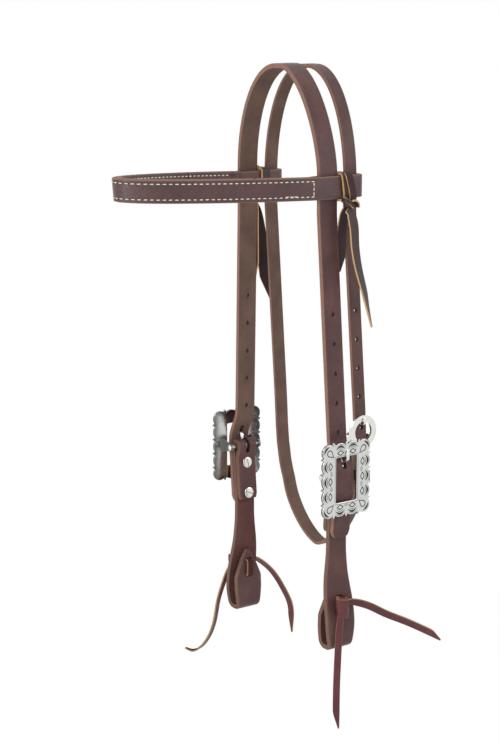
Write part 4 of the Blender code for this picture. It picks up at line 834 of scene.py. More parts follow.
def bright_metal(name, colour, roughness, scratches=0.25, shaded_rim=False):
    """Polished metal with soft waves and fine rub marks. The rim option paints shade on a plate's
    border, darker towards its sides and ends.
    """
    r = Recipe(name)
    rubs = r.noise(1.0, 2.0, place=r.stretched((300.0, 2600.0, 700.0)))
    waves = r.noise(150.0, 2.0)
    dull = r.step(r.noise(90.0, 4.0), 0.42, 0.75)
    tone = r.mix(dull * 0.45, colour, shade(colour, 0.80))
    # Painted shade: the border of a plate's back is darkened towards its sides and ends.
    if shaded_rim:
        past_side = r.step(abs(r.height("Y") - LEG_LEAN), PLATE_WIDTH * 0.34, PLATE_WIDTH * 0.50)
        past_end = r.step(abs(r.height("Z") - BAR_Z), PLATE_HEIGHT * 0.38, PLATE_HEIGHT * 0.50)
        tone = r.mix(past_side.largest(past_end) * 0.85, tone, shade(colour, 0.16))
    r.set(Base_Color=tone, Metallic=1.0,
          Roughness=roughness + dull * 0.12 + rubs * 0.10 * scratches,
          Normal=r.bump(waves * 1.2 + rubs * scratches, 0.00012, 0.5))
    return r.material


def tarnished_metal(name, colour):
    """Blackened floor of an engraved cut."""
    r = Recipe(name)
    specks = r.noise(1700.0, 3.0)
    tone = r.mix(r.step(specks, 0.48, 0.72) * 0.6, colour, shade(colour, 5.0))
    r.set(Base_Color=tone, Metallic=0.7, Roughness=0.50 + specks * 0.20,
          Normal=r.bump(specks, 0.0001, 0.6))
    return r.material


def twisted_thread(name, colour):
    r = Recipe(name)
    plies = r.noise(2100.0, 2.0)
    soil = r.noise(120.0, 3.0)
    tone = r.mix(r.step(plies, 0.35, 0.70) * 0.45, colour, shade(colour, 0.55))
    tone = r.mix(r.step(soil, 0.45, 0.80) * 0.35, tone, shade(colour, 0.66))
    r.set(Base_Color=tone, Roughness=0.60 + plies * 0.15, Normal=r.bump(plies, 0.0002, 0.7))
    return r.material


# Each finish: what makes it, its colour, how much lighter or darker, and what else its maker takes
FINISHES = {
    "strap_grain": (grain_leather, "strap", 1.0),
    "throat_grain": (grain_leather, "throat", 1.0, 0.44),
    "band_grain": (grain_leather, "band", 1.0, 0.32, True),
    "thong_face": (grain_leather, "thong", 1.0, 0.46),
    "lace_face": (grain_leather, "lace", 1.0, 0.44),
    "strap_flesh": (flesh_leather, "flesh", 1.0),
    "thong_back": (flesh_leather, "thong", 1.5),
    "lace_back": (flesh_leather, "lace", 0.62),
    "cheek_flesh": (flesh_leather, "strap", 1.30),
    "strap_edge": (edge_leather, "edge", 1.0),
    "cheek_edge": (edge_leather, "edge", 0.66),
    # Cut leather darkened to nearly black on the walls of holes, slots and bores: painted shade
    # inside them.
    "punched_leather": (edge_leather, "flesh", 0.28),
    "raw_edge": (edge_leather, "raw", 1.0, 0.45),
    "lace_edge": (edge_leather, "raw", 0.62, 0.45),
    "plate_silver": (bright_metal, "silver", 1.0, 0.20),
    # The back of a plate, with painted shade on its border.
    "plate_back": (bright_metal, "silver", 0.92, 0.16, 0.4, True),
    # A darker copy of the silver, as painted shade on the plate's side walls, the sides of its
    # points and its arms.
    "plate_edge": (bright_metal, "silver", 0.30, 0.34, 0.6),
    # A darker copy of the nickel, as painted shade in the screws' slots.
    "screw_slot": (bright_metal, "nickel", 0.30, 0.40, 0.6),
    "plate_tarnish": (tarnished_metal, "tarnish", 1.0),
    "polished_nickel": (bright_metal, "nickel", 1.0, 0.14, 0.5),
    "stitch_thread": (twisted_thread, "thread", 1.0),
}


def finish_of(name):
    """Each material is made once and shared."""
    if name in bpy.data.materials:
        return bpy.data.materials[name]
    maker, colour, factor, *rest = FINISHES[name]
    return maker(name, shade(getattr(colours(), colour), factor), *rest)


STRAP_FINISH = ("strap_grain", "strap_flesh", "strap_edge", "punched_leather")
CHEEK_FINISH = ("strap_grain", "cheek_flesh", "cheek_edge", "punched_leather")
THROAT_FINISH = ("throat_grain", "strap_flesh", "strap_edge", "punched_leather")
BAND_FINISH = ("band_grain", "strap_flesh", "strap_edge")
THONG_FINISH = ("thong_face", "thong_back", "raw_edge")
LACE_FINISH = ("lace_face", "lace_back", "lace_edge")
PLATE_FINISH = ("plate_silver", "plate_tarnish", "plate_back", "plate_edge")
NICKEL_FINISH = ("polished_nickel",)
SCREW_FINISH = ("polished_nickel", "screw_slot")


# Modelling


def deselect():
    if bpy.context.mode != "OBJECT":
        mode("OBJECT")
    bpy.ops.object.select_all(action="DESELECT")


def pick(obj, *others):
    deselect()
    for each in (obj, *others):
        each.select_set(True)
    bpy.context.view_layer.objects.active = obj


def mode(name):
    bpy.ops.object.mode_set(mode=name)


def edit(obj, select="SELECT"):
    """Opens a piece in Edit Mode with all of it selected, or none."""
    pick(obj)
    mode("EDIT")
    bpy.ops.mesh.select_all(action=select)


def apply_modifiers(obj):
    pick(obj)
    for modifier in list(obj.modifiers):
        bpy.ops.object.modifier_apply(modifier=modifier.name)


def settle(obj):
    """Puts a piece's place into its mesh."""
    bpy.context.view_layer.update()
    obj.data.transform(obj.matrix_world)
    obj.matrix_world = Matrix.Identity(4)


def join(first, *others):
    pick(first, *others)
    bpy.ops.object.join()
    return bpy.context.object


def mend(obj):
    """Merges doubled points and turns every face outward."""
    edit(obj)
    bpy.ops.mesh.remove_doubles(threshold=TOLERANCE)
    bpy.ops.mesh.normals_make_consistent(inside=False)
    mode("OBJECT")


def bevel(obj, width, segments=2, angle=50):
    made = obj.modifiers.new("rounded", "BEVEL")
    made.width = width
    made.segments = segments
    made.limit_method = "ANGLE"
    made.angle_limit = math.radians(angle)


def round_rims(obj, width, segments=3):
    """Bevels the rims of a flat shape that lies in XY. Its flats are made whole faces for that."""
    edit(obj)
    bpy.ops.mesh.dissolve_limited(angle_limit=0.01)
    mode("OBJECT")
    tall = max(vert.co.z for vert in obj.data.vertices)
    corners = obj.data.vertices
    faces_at = {}
    for face in obj.data.polygons:
        for key in face.edge_keys:
            faces_at.setdefault(key, []).append(face.normal.copy())
    edit(obj, "DESELECT")
    bpy.ops.mesh.select_mode(type="EDGE")
    mode("OBJECT")
    for edge in obj.data.edges:
        first, second = faces_at[edge.key]
        level = all(abs(abs(corners[i].co.z) - tall) < tall / 100 for i in edge.vertices)
        edge.select = level and first.dot(second) < 0.5
    mode("EDIT")
    bpy.ops.mesh.bevel(
        offset=width, segments=segments, affect="EDGES", clamp_overlap=False, loop_slide=False)
    bpy.ops.mesh.select_mode(type="VERT")
    mode("OBJECT")


def paint(obj, finish, index=0):
    """Gives a piece its materials, with every face in one of them."""
    obj.data.materials.clear()
    for name in finish:
        obj.data.materials.append(finish_of(name))
    for face in obj.data.polygons:
        face.material_index = index


def carve(obj, cutter, finish, index=PUNCHED):
    """Cuts closed shapes away. The cut faces get the finish at that index.

    Both are enlarged for it, because cutting takes points under a hundredth of a millimetre apart
    for one.
    """
    settle(cutter)
    while cutter.data.uv_layers:
        cutter.data.uv_layers.remove(cutter.data.uv_layers[0])
    paint(cutter, finish, index)
    cut = obj.modifiers.new("cut", "BOOLEAN")
    cut.operation = "DIFFERENCE"
    cut.solver = "EXACT"
    cut.object = cutter
    for mesh in (obj.data, cutter.data):
        mesh.transform(Matrix.Scale(ENLARGED, 4))
    apply_modifiers(obj)
    obj.data.transform(Matrix.Scale(1 / ENLARGED, 4))
    bpy.data.objects.remove(cutter, do_unlink=True)


def block(centre, size):
    deselect()
    bpy.ops.mesh.primitive_cube_add(size=1, location=centre)
    obj = bpy.context.object
    obj.scale = size
    return obj


def rod(centre, direction, radius, length, sides=24):
    deselect()
    turn = Vector(direction).to_track_quat("Z", "Y").to_euler()
    bpy.ops.mesh.primitive_cylinder_add(
        vertices=sides, radius=radius, depth=length, location=centre, rotation=turn)
    return bpy.context.object


def rounded(obj, width, segments=2, finish=NICKEL_FINISH, index=0):
    """Paints a piece and rounds its edges."""
    settle(obj)
    paint(obj, finish, index)
    bevel(obj, width, segments)
    apply_modifiers(obj)
    return obj


def dress(obj, name, body, slot, *nodes, angle=42):
    """Names a finished piece, smooths it and rides it on its body in place of CAD nodes."""
    obj.name = name
    obj.data.name = name
    settle(obj)
    pick(obj)
    bpy.ops.object.shade_smooth_by_angle(angle=math.radians(angle))
    level = obj.modifiers.new("level_faces", "WEIGHTED_NORMAL")
    level.keep_sharp = True
    apply_modifiers(obj)
    if nodes:
        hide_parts(*nodes)
    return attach(obj, body)


def lay_strap(stations, thickness, finish, offset=0.0, edge=None, closed=False, columns=4):
    """A strap laid along stations, each (middle, width direction, half width)."""
    steps = len(stations) if closed else len(stations) - 1
    runs = [0.0]
    for index in range(1, steps + 1):
        after = Vector(stations[index % len(stations)][0])
        runs.append(runs[-1] + (after - Vector(stations[index - 1][0])).length)
    deselect()
    bpy.ops.mesh.primitive_grid_add(x_subdivisions=steps, y_subdivisions=columns, size=1)
    obj = bpy.context.object
    laid = {}
    for vert in obj.data.vertices:
        index = round((vert.co.x + 0.5) * steps)
        share = 2 * vert.co.y
        middle, across, half = stations[index % len(stations)]
        vert.co = Vector(middle) + Vector(across).normalized() * half * share
        laid[vert.index] = (share, runs[index])
    uv = obj.data.uv_layers[0]
    uv.name = "laid"
    for loop in obj.data.loops:
        uv.data[loop.index].uv = laid[loop.vertex_index]
    if closed:
        edit(obj)
        bpy.ops.mesh.remove_doubles(threshold=TOLERANCE)
        mode("OBJECT")
    paint(obj, finish)
    solid = obj.modifiers.new("leather", "SOLIDIFY")
    solid.thickness = thickness
    solid.offset = offset
    solid.use_even_offset = True
    solid.use_quality_normals = True
    if len(finish) > 2:
        solid.material_offset = 1
        solid.material_offset_rim = 2
    bevel(obj, sizes().leather_edge if edge is None else edge, segments=3)
    apply_modifiers(obj)
    return obj


def turned(profile, steps=ROUND_SIDES):
    """A turned piece round Z, from (radius, height) points that run down its outer side."""
    deselect()
    bpy.ops.mesh.primitive_grid_add(x_subdivisions=len(profile) - 1, y_subdivisions=1, size=1)
    obj = bpy.context.object
    edit(obj, "DESELECT")
    mode("OBJECT")
    for vert in obj.data.vertices:
        vert.select = vert.co.y > 0
    mode("EDIT")
    bpy.ops.mesh.delete(type="VERT")
    mode("OBJECT")
    line = sorted(obj.data.vertices, key=lambda vert: vert.co.x)
    for vert, (radius, height) in zip(line, profile):
        vert.co = (radius, 0, height)
    spun = obj.modifiers.new("turned", "SCREW")
    spun.steps = steps
    spun.render_steps = steps
    spun.use_merge_vertices = True
    spun.merge_threshold = TOLERANCE
    apply_modifiers(obj)
    mend(obj)
    return obj


def flat_shape(loops, thickness):
    """Flat closed outlines, the nested ones as holes, made solid. It lies in XY.

    The outlines are filled a thousand times larger, because filling drops very short edges.
    """
    deselect()
    curve = bpy.data.curves.new("outline", "CURVE")
    curve.dimensions = "2D"
    curve.fill_mode = "BOTH"
    curve.extrude = thickness / 2 * ENLARGED
    for loop in loops:
        spline = curve.splines.new("POLY")
        spline.points.add(len(loop) - 1)
        for point, (x, y) in zip(spline.points, loop):
            point.co = (x * ENLARGED, y * ENLARGED, 0, 1)
        spline.use_cyclic_u = True
    obj = bpy.data.objects.new("outline", curve)
    bpy.context.collection.objects.link(obj)
    pick(obj)
    bpy.ops.object.convert(target="MESH")
    obj = bpy.context.object
    obj.scale = (1 / ENLARGED,) * 3
    settle(obj)
    mend(obj)
    return obj


def upright_shape(loops, thickness, place):
    obj = flat_shape(loops, thickness)
    obj.matrix_world = Matrix.Translation(place) @ UPRIGHT
    return obj


# Crown strap and throatlatch


def arch_side(inside, rise, roundness):
    """One side of the arch over the poll, from its foot to the flat at the top, as (x, z)."""
    half = inside - POLL_FLAT / 2
    places = []
    for angle in between(0.0, math.pi / 2, ARCH_STEPS):
        out = max(math.cos(angle), 0.0) ** (2 / roundness)
        up = math.sin(angle) ** (2 / roundness)
        places.append((POLL_FLAT / 2 + half * out, -rise * (1 - up)))
    return places


def arch_stations(inside, rise, roundness, back, width):
    """The arch over the poll, from the near foot to the far foot, on the strap's underside."""
    near, far = (
        [((side * x, back, z), FORWARD, width / 2) for x, z in arch_side(inside, rise, power)]
        for side, power in zip((1, -1), roundness))
    return near + far[::-1]


def crown_leg(side):
    """The crown strap's inner face from its tip up to the foot of the arch."""
    step_top = BAR_Z + STEP_ABOVE_BAR
    tip = BAR_Z - BILLET_PAST_BAR
    heights = [tip, tip + BILLET_TIP_CUT / 3, tip + BILLET_TIP_CUT, BAR_Z - CHEEK_SETTLE / 2, BAR_Z]
    heights += between(BAR_Z + STEP_CLEAR_OF_BAR, step_top, EASE_STEPS)
    heights += between(step_top, -LEG_STRAIGHT, 16)[1:]
    stations = []
    for z in heights:
        half = CROWN_WIDTH / 2 - BILLET_TIP_CUT / 2 * ramp(z, tip + BILLET_TIP_CUT, tip) ** 2
        stations.append(((side * crown_inside_x(z), crown_y(z), z), (0, -1, 0), half))
    return stations


def punch_holes(strap, finish, places, across_x, reach):
    """Round holes with a short slit above, as a worn billet has."""
    radius = HOLE_RADIUS * WORN_HOLE
    loop = arc((0, 0), radius, math.radians(110), math.radians(430), 24)
    loop += [(radius * 0.10, radius * HOLE_SLIT), (-radius * 0.10, radius * HOLE_SLIT)]
    for y, z in places:
        carve(strap, upright_shape([loop], reach, (across_x, y, z)), finish)


def tongue_slot(place, width, height, reach):
    """A tongue's hole, drawn out to a point at its lower end by wear."""
    half, tall = width / 2, height / 2
    wide = -tall * SLOT_SHOULDER
    loop = [(-half * 0.8, tall), (half * 0.8, tall), (half, wide), (0, -tall), (-half, wide)]
    return upright_shape([loop], reach, place)


def bore_for_post(strap, seat, axis, thick, head, finish, past=4 * FIT):
    """Bores both plies for a post and sinks its head into the outer one."""
    depth = 2 * thick + FIT
    carve(strap, rod(seat - axis * depth / 2, axis, POST_RADIUS + FIT, depth + past), finish)
    recess = RECESS_DEPTH + FIT / 2
    sunk = seat + axis * (FIT / 2 - recess / 2)
    carve(strap, rod(sunk, axis, head + FIT, recess, HEAD_SIDES), finish)


class CrownStrap(bpy.types.Operator):
    """Lays the crown strap over the poll and punches its billets"""

    bl_idname = "headstall.crown_strap"
    bl_label = "Crown strap"

    def execute(self, context):
        roundness = (NEAR_ARCH_ROUNDNESS, FAR_ARCH_ROUNDNESS)
        arch = arch_stations(CROWN_INSIDE, ARCH_RISE, roundness, 0.0, CROWN_WIDTH)
        stations = crown_leg(1) + arch + crown_leg(-1)[::-1]
        strap = lay_strap(stations, CROWN_THICK, STRAP_FINISH, offset=1.0)
        reach = 2 * (BAR_X + PLATE_WIDTH)
        hole_z = BAR_Z + TONGUE_HOLE_RISE
        heights = [hole_z + k * HOLE_PITCH for k in range(1, FREE_HOLES + 1)]
        punch_holes(strap, STRAP_FINISH, [(crown_y(z), z) for z in heights], 0.0, reach)
        place = (0, crown_y(hole_z), hole_z + TONGUE_SLOT_PULL)
        carve(strap, tongue_slot(place, TONGUE_SLOT_WIDTH, TONGUE_SLOT, reach), STRAP_FINISH)
        dress(strap, "crown_leather", "headstall", "mahogany_strap", "crown_strap")
        return {"FINISHED"}


def far_throat(z):
    """The far leg of the throatlatch, eased over the place where it starts to curve."""
    low = THROAT_DROP - THROAT_THICK / 2
    inner = THROAT_INSIDE + THROAT_THICK / 2
    reach = min(0.040, (z + low) * 0.8)
    across, back = 0.0, 0.0
    heights = between(z - reach, z + reach, 12)
    for height in heights:
        if height > -THROAT_CURVE_START:
            spread = ramp(-height, LEG_STRAIGHT, THROAT_CURVE_START)
            across += inner + (THROAT_FAR_HALF - inner) * spread
        else:
            across += throat_loop_x(height, THROAT_FAR_HALF)
        back += throat_y(height)
    return -across / len(heights), back / len(heights), z


def throat_stations():
    """The throatlatch from its billet's tip, over the poll, under the throat and round its bar."""
    half = THROAT_WIDTH / 2
    middle = THROAT_THICK / 2
    step_top = THROAT_BAR_Z + THROAT_STEP_ABOVE
    cut = THROAT_BILLET_END - THROAT_TIP_CUT
    curve = [throat_loop_z(angle) for angle in between(0.0, math.pi / 2, 27)]
    follows = [z for z in curve if -cut < z < -THROAT_CURVE_START - THROAT_TIP_CUT]
    billet = []
    for z in [-THROAT_BILLET_END, -cut, *follows[::-1]]:
        narrow = THROAT_TIP_CUT / 2 if z == -THROAT_BILLET_END else 0.0
        x, z_over = throat_over_loop(z)
        billet.append(((x, throat_y(z), z_over), FORWARD, half - narrow))
    heights = [-THROAT_CURVE_START, -THROAT_SWEEP_END, THROAT_BAR_Z]
    heights += between(THROAT_BAR_Z + THROAT_STEP_CLEAR, step_top, EASE_STEPS)
    heights += between(step_top, -LEG_STRAIGHT, 12)[1:]
    places = [(throat_billet_x(z) + middle, throat_y(z), z) for z in heights]
    roundness = (FAR_ARCH_ROUNDNESS, FAR_ARCH_ROUNDNESS)
    for (x, y, z), _, _ in arch_stations(
            THROAT_INSIDE, THROAT_RISE, roundness, THROAT_BACK, THROAT_WIDTH):
        outward = Vector((x / THROAT_INSIDE**2, 0, (z + THROAT_RISE) / THROAT_RISE**2)).normalized()
        places.append(Vector((x, y, z)) + outward * middle)
    places.append((-THROAT_INSIDE - middle, throat_y(-LEG_STRAIGHT), -LEG_STRAIGHT))
    far_top = -LEG_STRAIGHT - FAR_LEG_EASE
    places += [far_throat(z) for z in between(far_top, -THROAT_CURVE_START, 12) + curve[1:]]
    for z in [*curve[-2:0:-1], -THROAT_CURVE_START, -THROAT_SWEEP_END]:
        places.append((throat_loop_x(z), throat_y(z), z))
    bar = (THROAT_BAR_X, THROAT_BAR_Z)
    for x, z in arc(bar, THROAT_FOLD_RADIUS, 0.0, math.pi, ARC_STEPS):
        places.append((x, throat_y(THROAT_BAR_Z), z))
    back = THROAT_BAR_X - THROAT_FOLD_RADIUS
    lap = throat_loop_x(THROAT_BAR_Z) - THROAT_THICK - FIT
    for drop, x in (
        (THROAT_SETTLE / 2, (back + lap) / 2), (THROAT_SETTLE, lap),
        (SWEEP_END_PAST_BAR, lap), (THROAT_INNER_PLY, lap),
    ):
        z = THROAT_BAR_Z - drop
        places.append((x, throat_y(z), z))
    return billet + [(place, FORWARD, half) for place in places]


class Throatlatch(bpy.types.Operator):
    """Lays the throatlatch, punches it and slips its keeper on"""

    bl_idname = "headstall.throatlatch"
    bl_label = "Throatlatch and keeper"

    def execute(self, context):
        strap = lay_strap(throat_stations(), THROAT_THICK, THROAT_FINISH)
        hole_z = THROAT_BAR_Z + THROAT_HOLE_RISE
        heights = [hole_z + k * HOLE_PITCH for k in range(1, THROAT_FREE_HOLES + 1)]
        places = [(throat_y(z), z) for z in heights]
        punch_holes(strap, THROAT_FINISH, places, THROAT_HALF, THROAT_HALF)
        bar_y = throat_y(THROAT_BAR_Z)
        slot_x = THROAT_BAR_X + THROAT_FOLD_RADIUS + THROAT_THICK
        slot = tongue_slot((slot_x, bar_y, hole_z), TONGUE_SLOT_WIDTH * NARROW_SLOT,
                           THROAT_SLOT * SHORT_SLOT, 2 * THROAT_THICK)
        carve(strap, slot, THROAT_FINISH)
        fold_top = THROAT_BAR_Z + THROAT_FOLD_RADIUS + THROAT_THICK / 2 + FIT / 2
        fold_low = THROAT_BAR_Z - THROAT_SCREW / 3
        front = THROAT_BAR_X + THROAT_FOLD_RADIUS + THROAT_THICK / 2 + FIT / 2
        behind = THROAT_BAR_X - THROAT_FOLD_RADIUS - THROAT_THICK
        fold = block(
            ((front + behind) / 2, bar_y, (fold_top + fold_low) / 2),
            (front - behind, TONGUE_SLOT_WIDTH, fold_top - fold_low))
        carve(strap, fold, THROAT_FINISH)
        bore_for_post(strap, throat_seat(), OUT, THROAT_THICK, SMALL_POST_HEAD, THROAT_FINISH,
                      past=3 * FIT)
        dress(strap, "throatlatch_leather", "headstall", "throatlatch_leather", "throatlatch_strap")

        z = THROAT_BAR_Z - KEEPER_DROP
        off = FIT + KEEPER_THICK / 2
        high_x = throat_loop_x(z) + THROAT_THICK * 1.5 + FIT + off
        low_x = throat_loop_x(z) - THROAT_THICK / 2 - KEEPER_SLACK - off
        half_y = THROAT_WIDTH / 2 + off
        ring = rounded_rectangle(
            (low_x, throat_y(z) - half_y), (high_x, throat_y(z) + half_y), KEEPER_CORNER)
        stations = [((x, y, z), UP, KEEPER_WIDTH / 2) for x, y in ring]
        keeper = lay_strap(
            stations, KEEPER_THICK, THROAT_FINISH, edge=sizes().metal_edge, closed=True)
        dress(keeper, "keeper_loop", "keeper", "throatlatch_leather", "throat_keeper")
        return {"FINISHED"}


# Cheek straps


def cheek_half_width(z, flap):
    """Half the cheek's width at a height, on the outer side or on the turned-up flap."""
    drop = -z - BAR_DROP
    if flap:
        shoulder = LOOP_WIDEST - (LOOP_WIDEST - FLAP_TIP) / 3
        if drop <= shoulder:
            share = ramp(drop, FLAP_TIP, shoulder)
            return TIP_HALF_WIDTH + (FLAP_HALF_WIDTH - TIP_HALF_WIDTH) * share**0.80
        widest = FLAP_HALF_WIDTH
    else:
        flare = ease(ramp(drop, CHEEK_FLARE_START, CHEEK_FLARE_END))
        widest = CROWN_WIDTH / 2 + (LOOP_HALF_WIDTH - CROWN_WIDTH / 2) * flare
    share = ramp(drop, CHEEK_FLARE_END + (LOOP_END - CHEEK_FLARE_END) / 4, LOOP_END)
    return widest + (FOOT_HALF_WIDTH - widest) * share**2


def cheek_stations(side):
    """The cheek from the tip of its flap, round the loop, up, and round the bar to its end."""
    route = []
    for drop in [INNER_PLY, INNER_PLY - 0.004, SCREW_LOW, SCREW_HIGH, INNER_SETTLE, 0.0]:
        half = CROWN_WIDTH / 2 - (0.0012 if drop == INNER_PLY else 0.0)
        route.append((inner_ply_x(BAR_Z - drop), BAR_Z - drop, half))
    for x, z in arc((BAR_X, BAR_Z), FOLD_RADIUS, math.pi, 0.0, 2 * ARC_STEPS)[1:]:
        route.append((x, z, CROWN_WIDTH / 2))
    outer = [CHEEK_SETTLE / 2, CHEEK_SETTLE, CHEEK_FLARE_START]
    outer += between(CHEEK_FLARE_START, -LOOP_ARC_Z - BAR_DROP, 30)[1:]
    for drop in outer:
        z = BAR_Z - drop
        route.append((cheek_x(z), z, cheek_half_width(z, False)))
    bottom = -math.pi / 2
    outer_end = (LOOP_CENTRE_X + LOOP_FLAT / 2, LOOP_ARC_Z)
    inner_end = (LOOP_CENTRE_X - LOOP_FLAT / 2, LOOP_ARC_Z)
    for x, z in arc(outer_end, LOOP_RADIUS, 0.0, bottom, 8)[1:]:
        route.append((x, z, cheek_half_width(z, False)))
    for x, z in arc(inner_end, LOOP_RADIUS, bottom, 2 * bottom, 8):
        route.append((x, z, cheek_half_width(z, True)))
    for drop in between(-LOOP_ARC_Z - BAR_DROP, FLAP_TIP, 34)[1:]:
        z = BAR_Z - drop
        route.append((flap_x(z), z, cheek_half_width(z, True)))
    return [((side * x, LEG_LEAN, z), (0, -side, 0), half) for x, z, half in route[::-1]]


class CheekStraps(bpy.types.Operator):
    """Folds both cheek straps round their bars and into bit loops"""

    bl_idname = "headstall.cheek_straps"
    bl_label = "Cheek straps"

    def execute(self, context):
        for side, name in SIDES:
            cheek = lay_strap(cheek_stations(side), CHEEK_THICK, CHEEK_FINISH, columns=6)
            fold_half = FOLD_RADIUS + CHEEK_THICK
            top, low = BAR_Z + fold_half, BAR_Z - FOLD_SLOT_DROP
            carve(cheek, block(
                (side * BAR_X, LEG_LEAN, (top + low) / 2),
                (2 * fold_half, FOLD_SLOT_WIDTH, top - low)), CHEEK_FINISH)
            for drop in (LACE_SLOT_UP, LACE_SLOT_LOW):
                carve(cheek, block(
                    (side * LOOP_CENTRE_X, LEG_LEAN, BAR_Z - drop),
                    (2 * LOOP_HALF_WIDTH + CUT_OVERRUN, LACE_SLOT_WIDTH, LACE_SLOT_HEIGHT)),
                    CHEEK_FINISH)
            for drop in (SCREW_HIGH, SCREW_LOW):
                bore_for_post(cheek, screw_seat(side, drop), slanted(side), CHEEK_THICK,
                              POST_HEAD_RADIUS, CHEEK_FINISH)
            dress(cheek, f"{name}_cheek_leather", f"{name}_cheek", "mahogany_strap",
                  f"{name}_cheek_strap")
        return {"FINISHED"}


# Browband and its stitching


def brow_curve(depth, shares, side):
    """Stations on the curve to the front, a depth behind the outer ply's middle."""
    stations = []
    for share in shares:
        place, outward, across = brow_frame(share, side)
        stations.append((place - outward * depth, across, BROW_WIDTH / 2))
    return stations


def return_stations(side):
    """The turned-back end: from the fold, inside the straps, to lie against the outer ply."""
    half = BROW_WIDTH / 2
    stations = [(Vector((side * BROW_INNER_X, y, brow_level(side))), UP, half)
                for y in (THROAT_BACK, BROW_START)]
    ends = [share for share in between(0.0, 1.0, BROW_STEPS)
            if brow_frame(share, 1)[0].y > BROW_START - BROW_RETURN]
    deep = BROW_OUTER_X - BROW_INNER_X
    for share in ends[1:]:
        place, outward, across = brow_frame(share, side)
        settled = ease(ramp(BROW_START - place.y, 0.0, BROW_SETTLE))
        stations.append((place - outward * (deep + (BROW_PLY - deep) * settled), across, half))
    return stations


def brow_fold(side):
    """Half circle round the back edge of the throatlatch, from the outer to the inner ply."""
    radius = (BROW_OUTER_X - BROW_INNER_X) / 2
    centre = ((BROW_OUTER_X + BROW_INNER_X) / 2, THROAT_BACK + THROAT_WIDTH / 2 - FOLD_PAST_THROAT)
    return [(Vector((side * x, y, brow_level(side))), UP, BROW_WIDTH / 2)
            for x, y in arc(centre, radius, 0.0, math.pi, 2 * ARC_STEPS)]


def brow_run():
    """Distances along the outer ply with their side and share, from the near to the far end."""
    run = 0.0
    line = []
    last = None
    shares = between(0.0, 1.0, 160)
    for side, share in [(1, s) for s in shares] + [(-1, s) for s in shares[:-1][::-1]]:
        place = brow_frame(share, side)[0]
        if place.y > CROSS_STITCH_Y:
            continue
        if last is not None:
            run += (place - last).length
        last = place
        line.append((run, side, share))
    return line


def at_run(line, goal):
    """Side and share on the outer ply at a distance along it."""
    for (start, side, share), (end, next_side, next_share) in zip(line, line[1:]):
        if start <= goal <= end:
            part = (goal - start) / (end - start)
            if side != next_side:
                return side, share
            return side, share + (next_share - share) * part
    return line[-1][1], line[-1][2]


def one_stitch(length, radius):
    """One stitch of thread along X, domed and sunk at both ends."""
    deselect()
    bpy.ops.mesh.primitive_cylinder_add(
        vertices=8, radius=radius, depth=length, rotation=(0, math.pi / 2, 0),
        end_fill_type="NOTHING")
    obj = bpy.context.object
    settle(obj)
    edit(obj)
    bpy.ops.mesh.subdivide(number_cuts=1)
    mode("OBJECT")
    for vert in obj.data.vertices:
        end = abs(vert.co.x) / (length / 2)
        slimmer = 1 - STITCH_TAPER * end**3
        vert.co.y *= slimmer
        vert.co.z = vert.co.z * slimmer - radius * STITCH_SINK * end**2
    return obj


def stitch_mesh(name, places, length, radius):
    """Copies of one stitch, each with its own points, joined to one mesh."""
    single = one_stitch(length, radius)
    points, faces = [], []
    for place, along, out in places:
        side = out.cross(along).normalized()
        start = len(points)
        for vert in single.data.vertices:
            points.append(place + along * vert.co.x + side * vert.co.y + out * vert.co.z)
        faces += [[start + i for i in face.vertices] for face in single.data.polygons]
    bpy.data.objects.remove(single, do_unlink=True)
    mesh = bpy.data.meshes.new(name)
    mesh.from_pydata([tuple(point) for point in points], [], faces)
    obj = bpy.data.objects.new(name, mesh)
    bpy.context.collection.objects.link(obj)
    paint(obj, ("stitch_thread",))
    return obj


def stitches_at(side, share, offsets, crosswise=False):
    """Stitches on both faces of the browband, at distances from its middle line."""
    place, outward, across = brow_frame(share, side)
    along = across if crosswise else across.cross(outward)
    stand = sizes().thread_radius * STITCH_STAND
    faces = ((BROW_THICK / 2, outward), (-BROW_PLY - BROW_THICK / 2, -outward))
    return [(place + outward * face + across * offset + out * stand, along, out)
            for face, out in faces for offset in offsets]


def stitch_places():
    """Both long rows, the short row across each end and three back stitches at each end."""
    radius = sizes().thread_radius
    row = BROW_WIDTH / 2 - sizes().stitch_inset
    line = brow_run()
    full = line[-1][0]
    count = round(full / sizes().stitch_pitch)
    places = []
    for i in range(count):
        places += stitches_at(*at_run(line, full * (i + 0.5) / count), (-row, row))
    crossing = row * CROSS_STITCH_SHARE
    share = next(s for s in between(0.0, 1.0, BROW_STEPS) if brow_frame(s, 1)[0].y < CROSS_STITCH_Y)
    for side in (1, -1):
        places += stitches_at(side, share, (-crossing, 0.0, crossing), crosswise=True)
        start = full * (BACK_STITCH_START if side > 0 else 1 - BACK_STITCH_START)
        for step in range(3):
            back_side, back_share = at_run(line, start + step * BACK_STITCH_PITCH)
            place, outward, across = brow_frame(back_share, back_side)
            spot = place + outward * (BROW_THICK + radius) / 2 - across * (row - radius * 1.2)
            places.append((spot, across.cross(outward), outward))
    return places


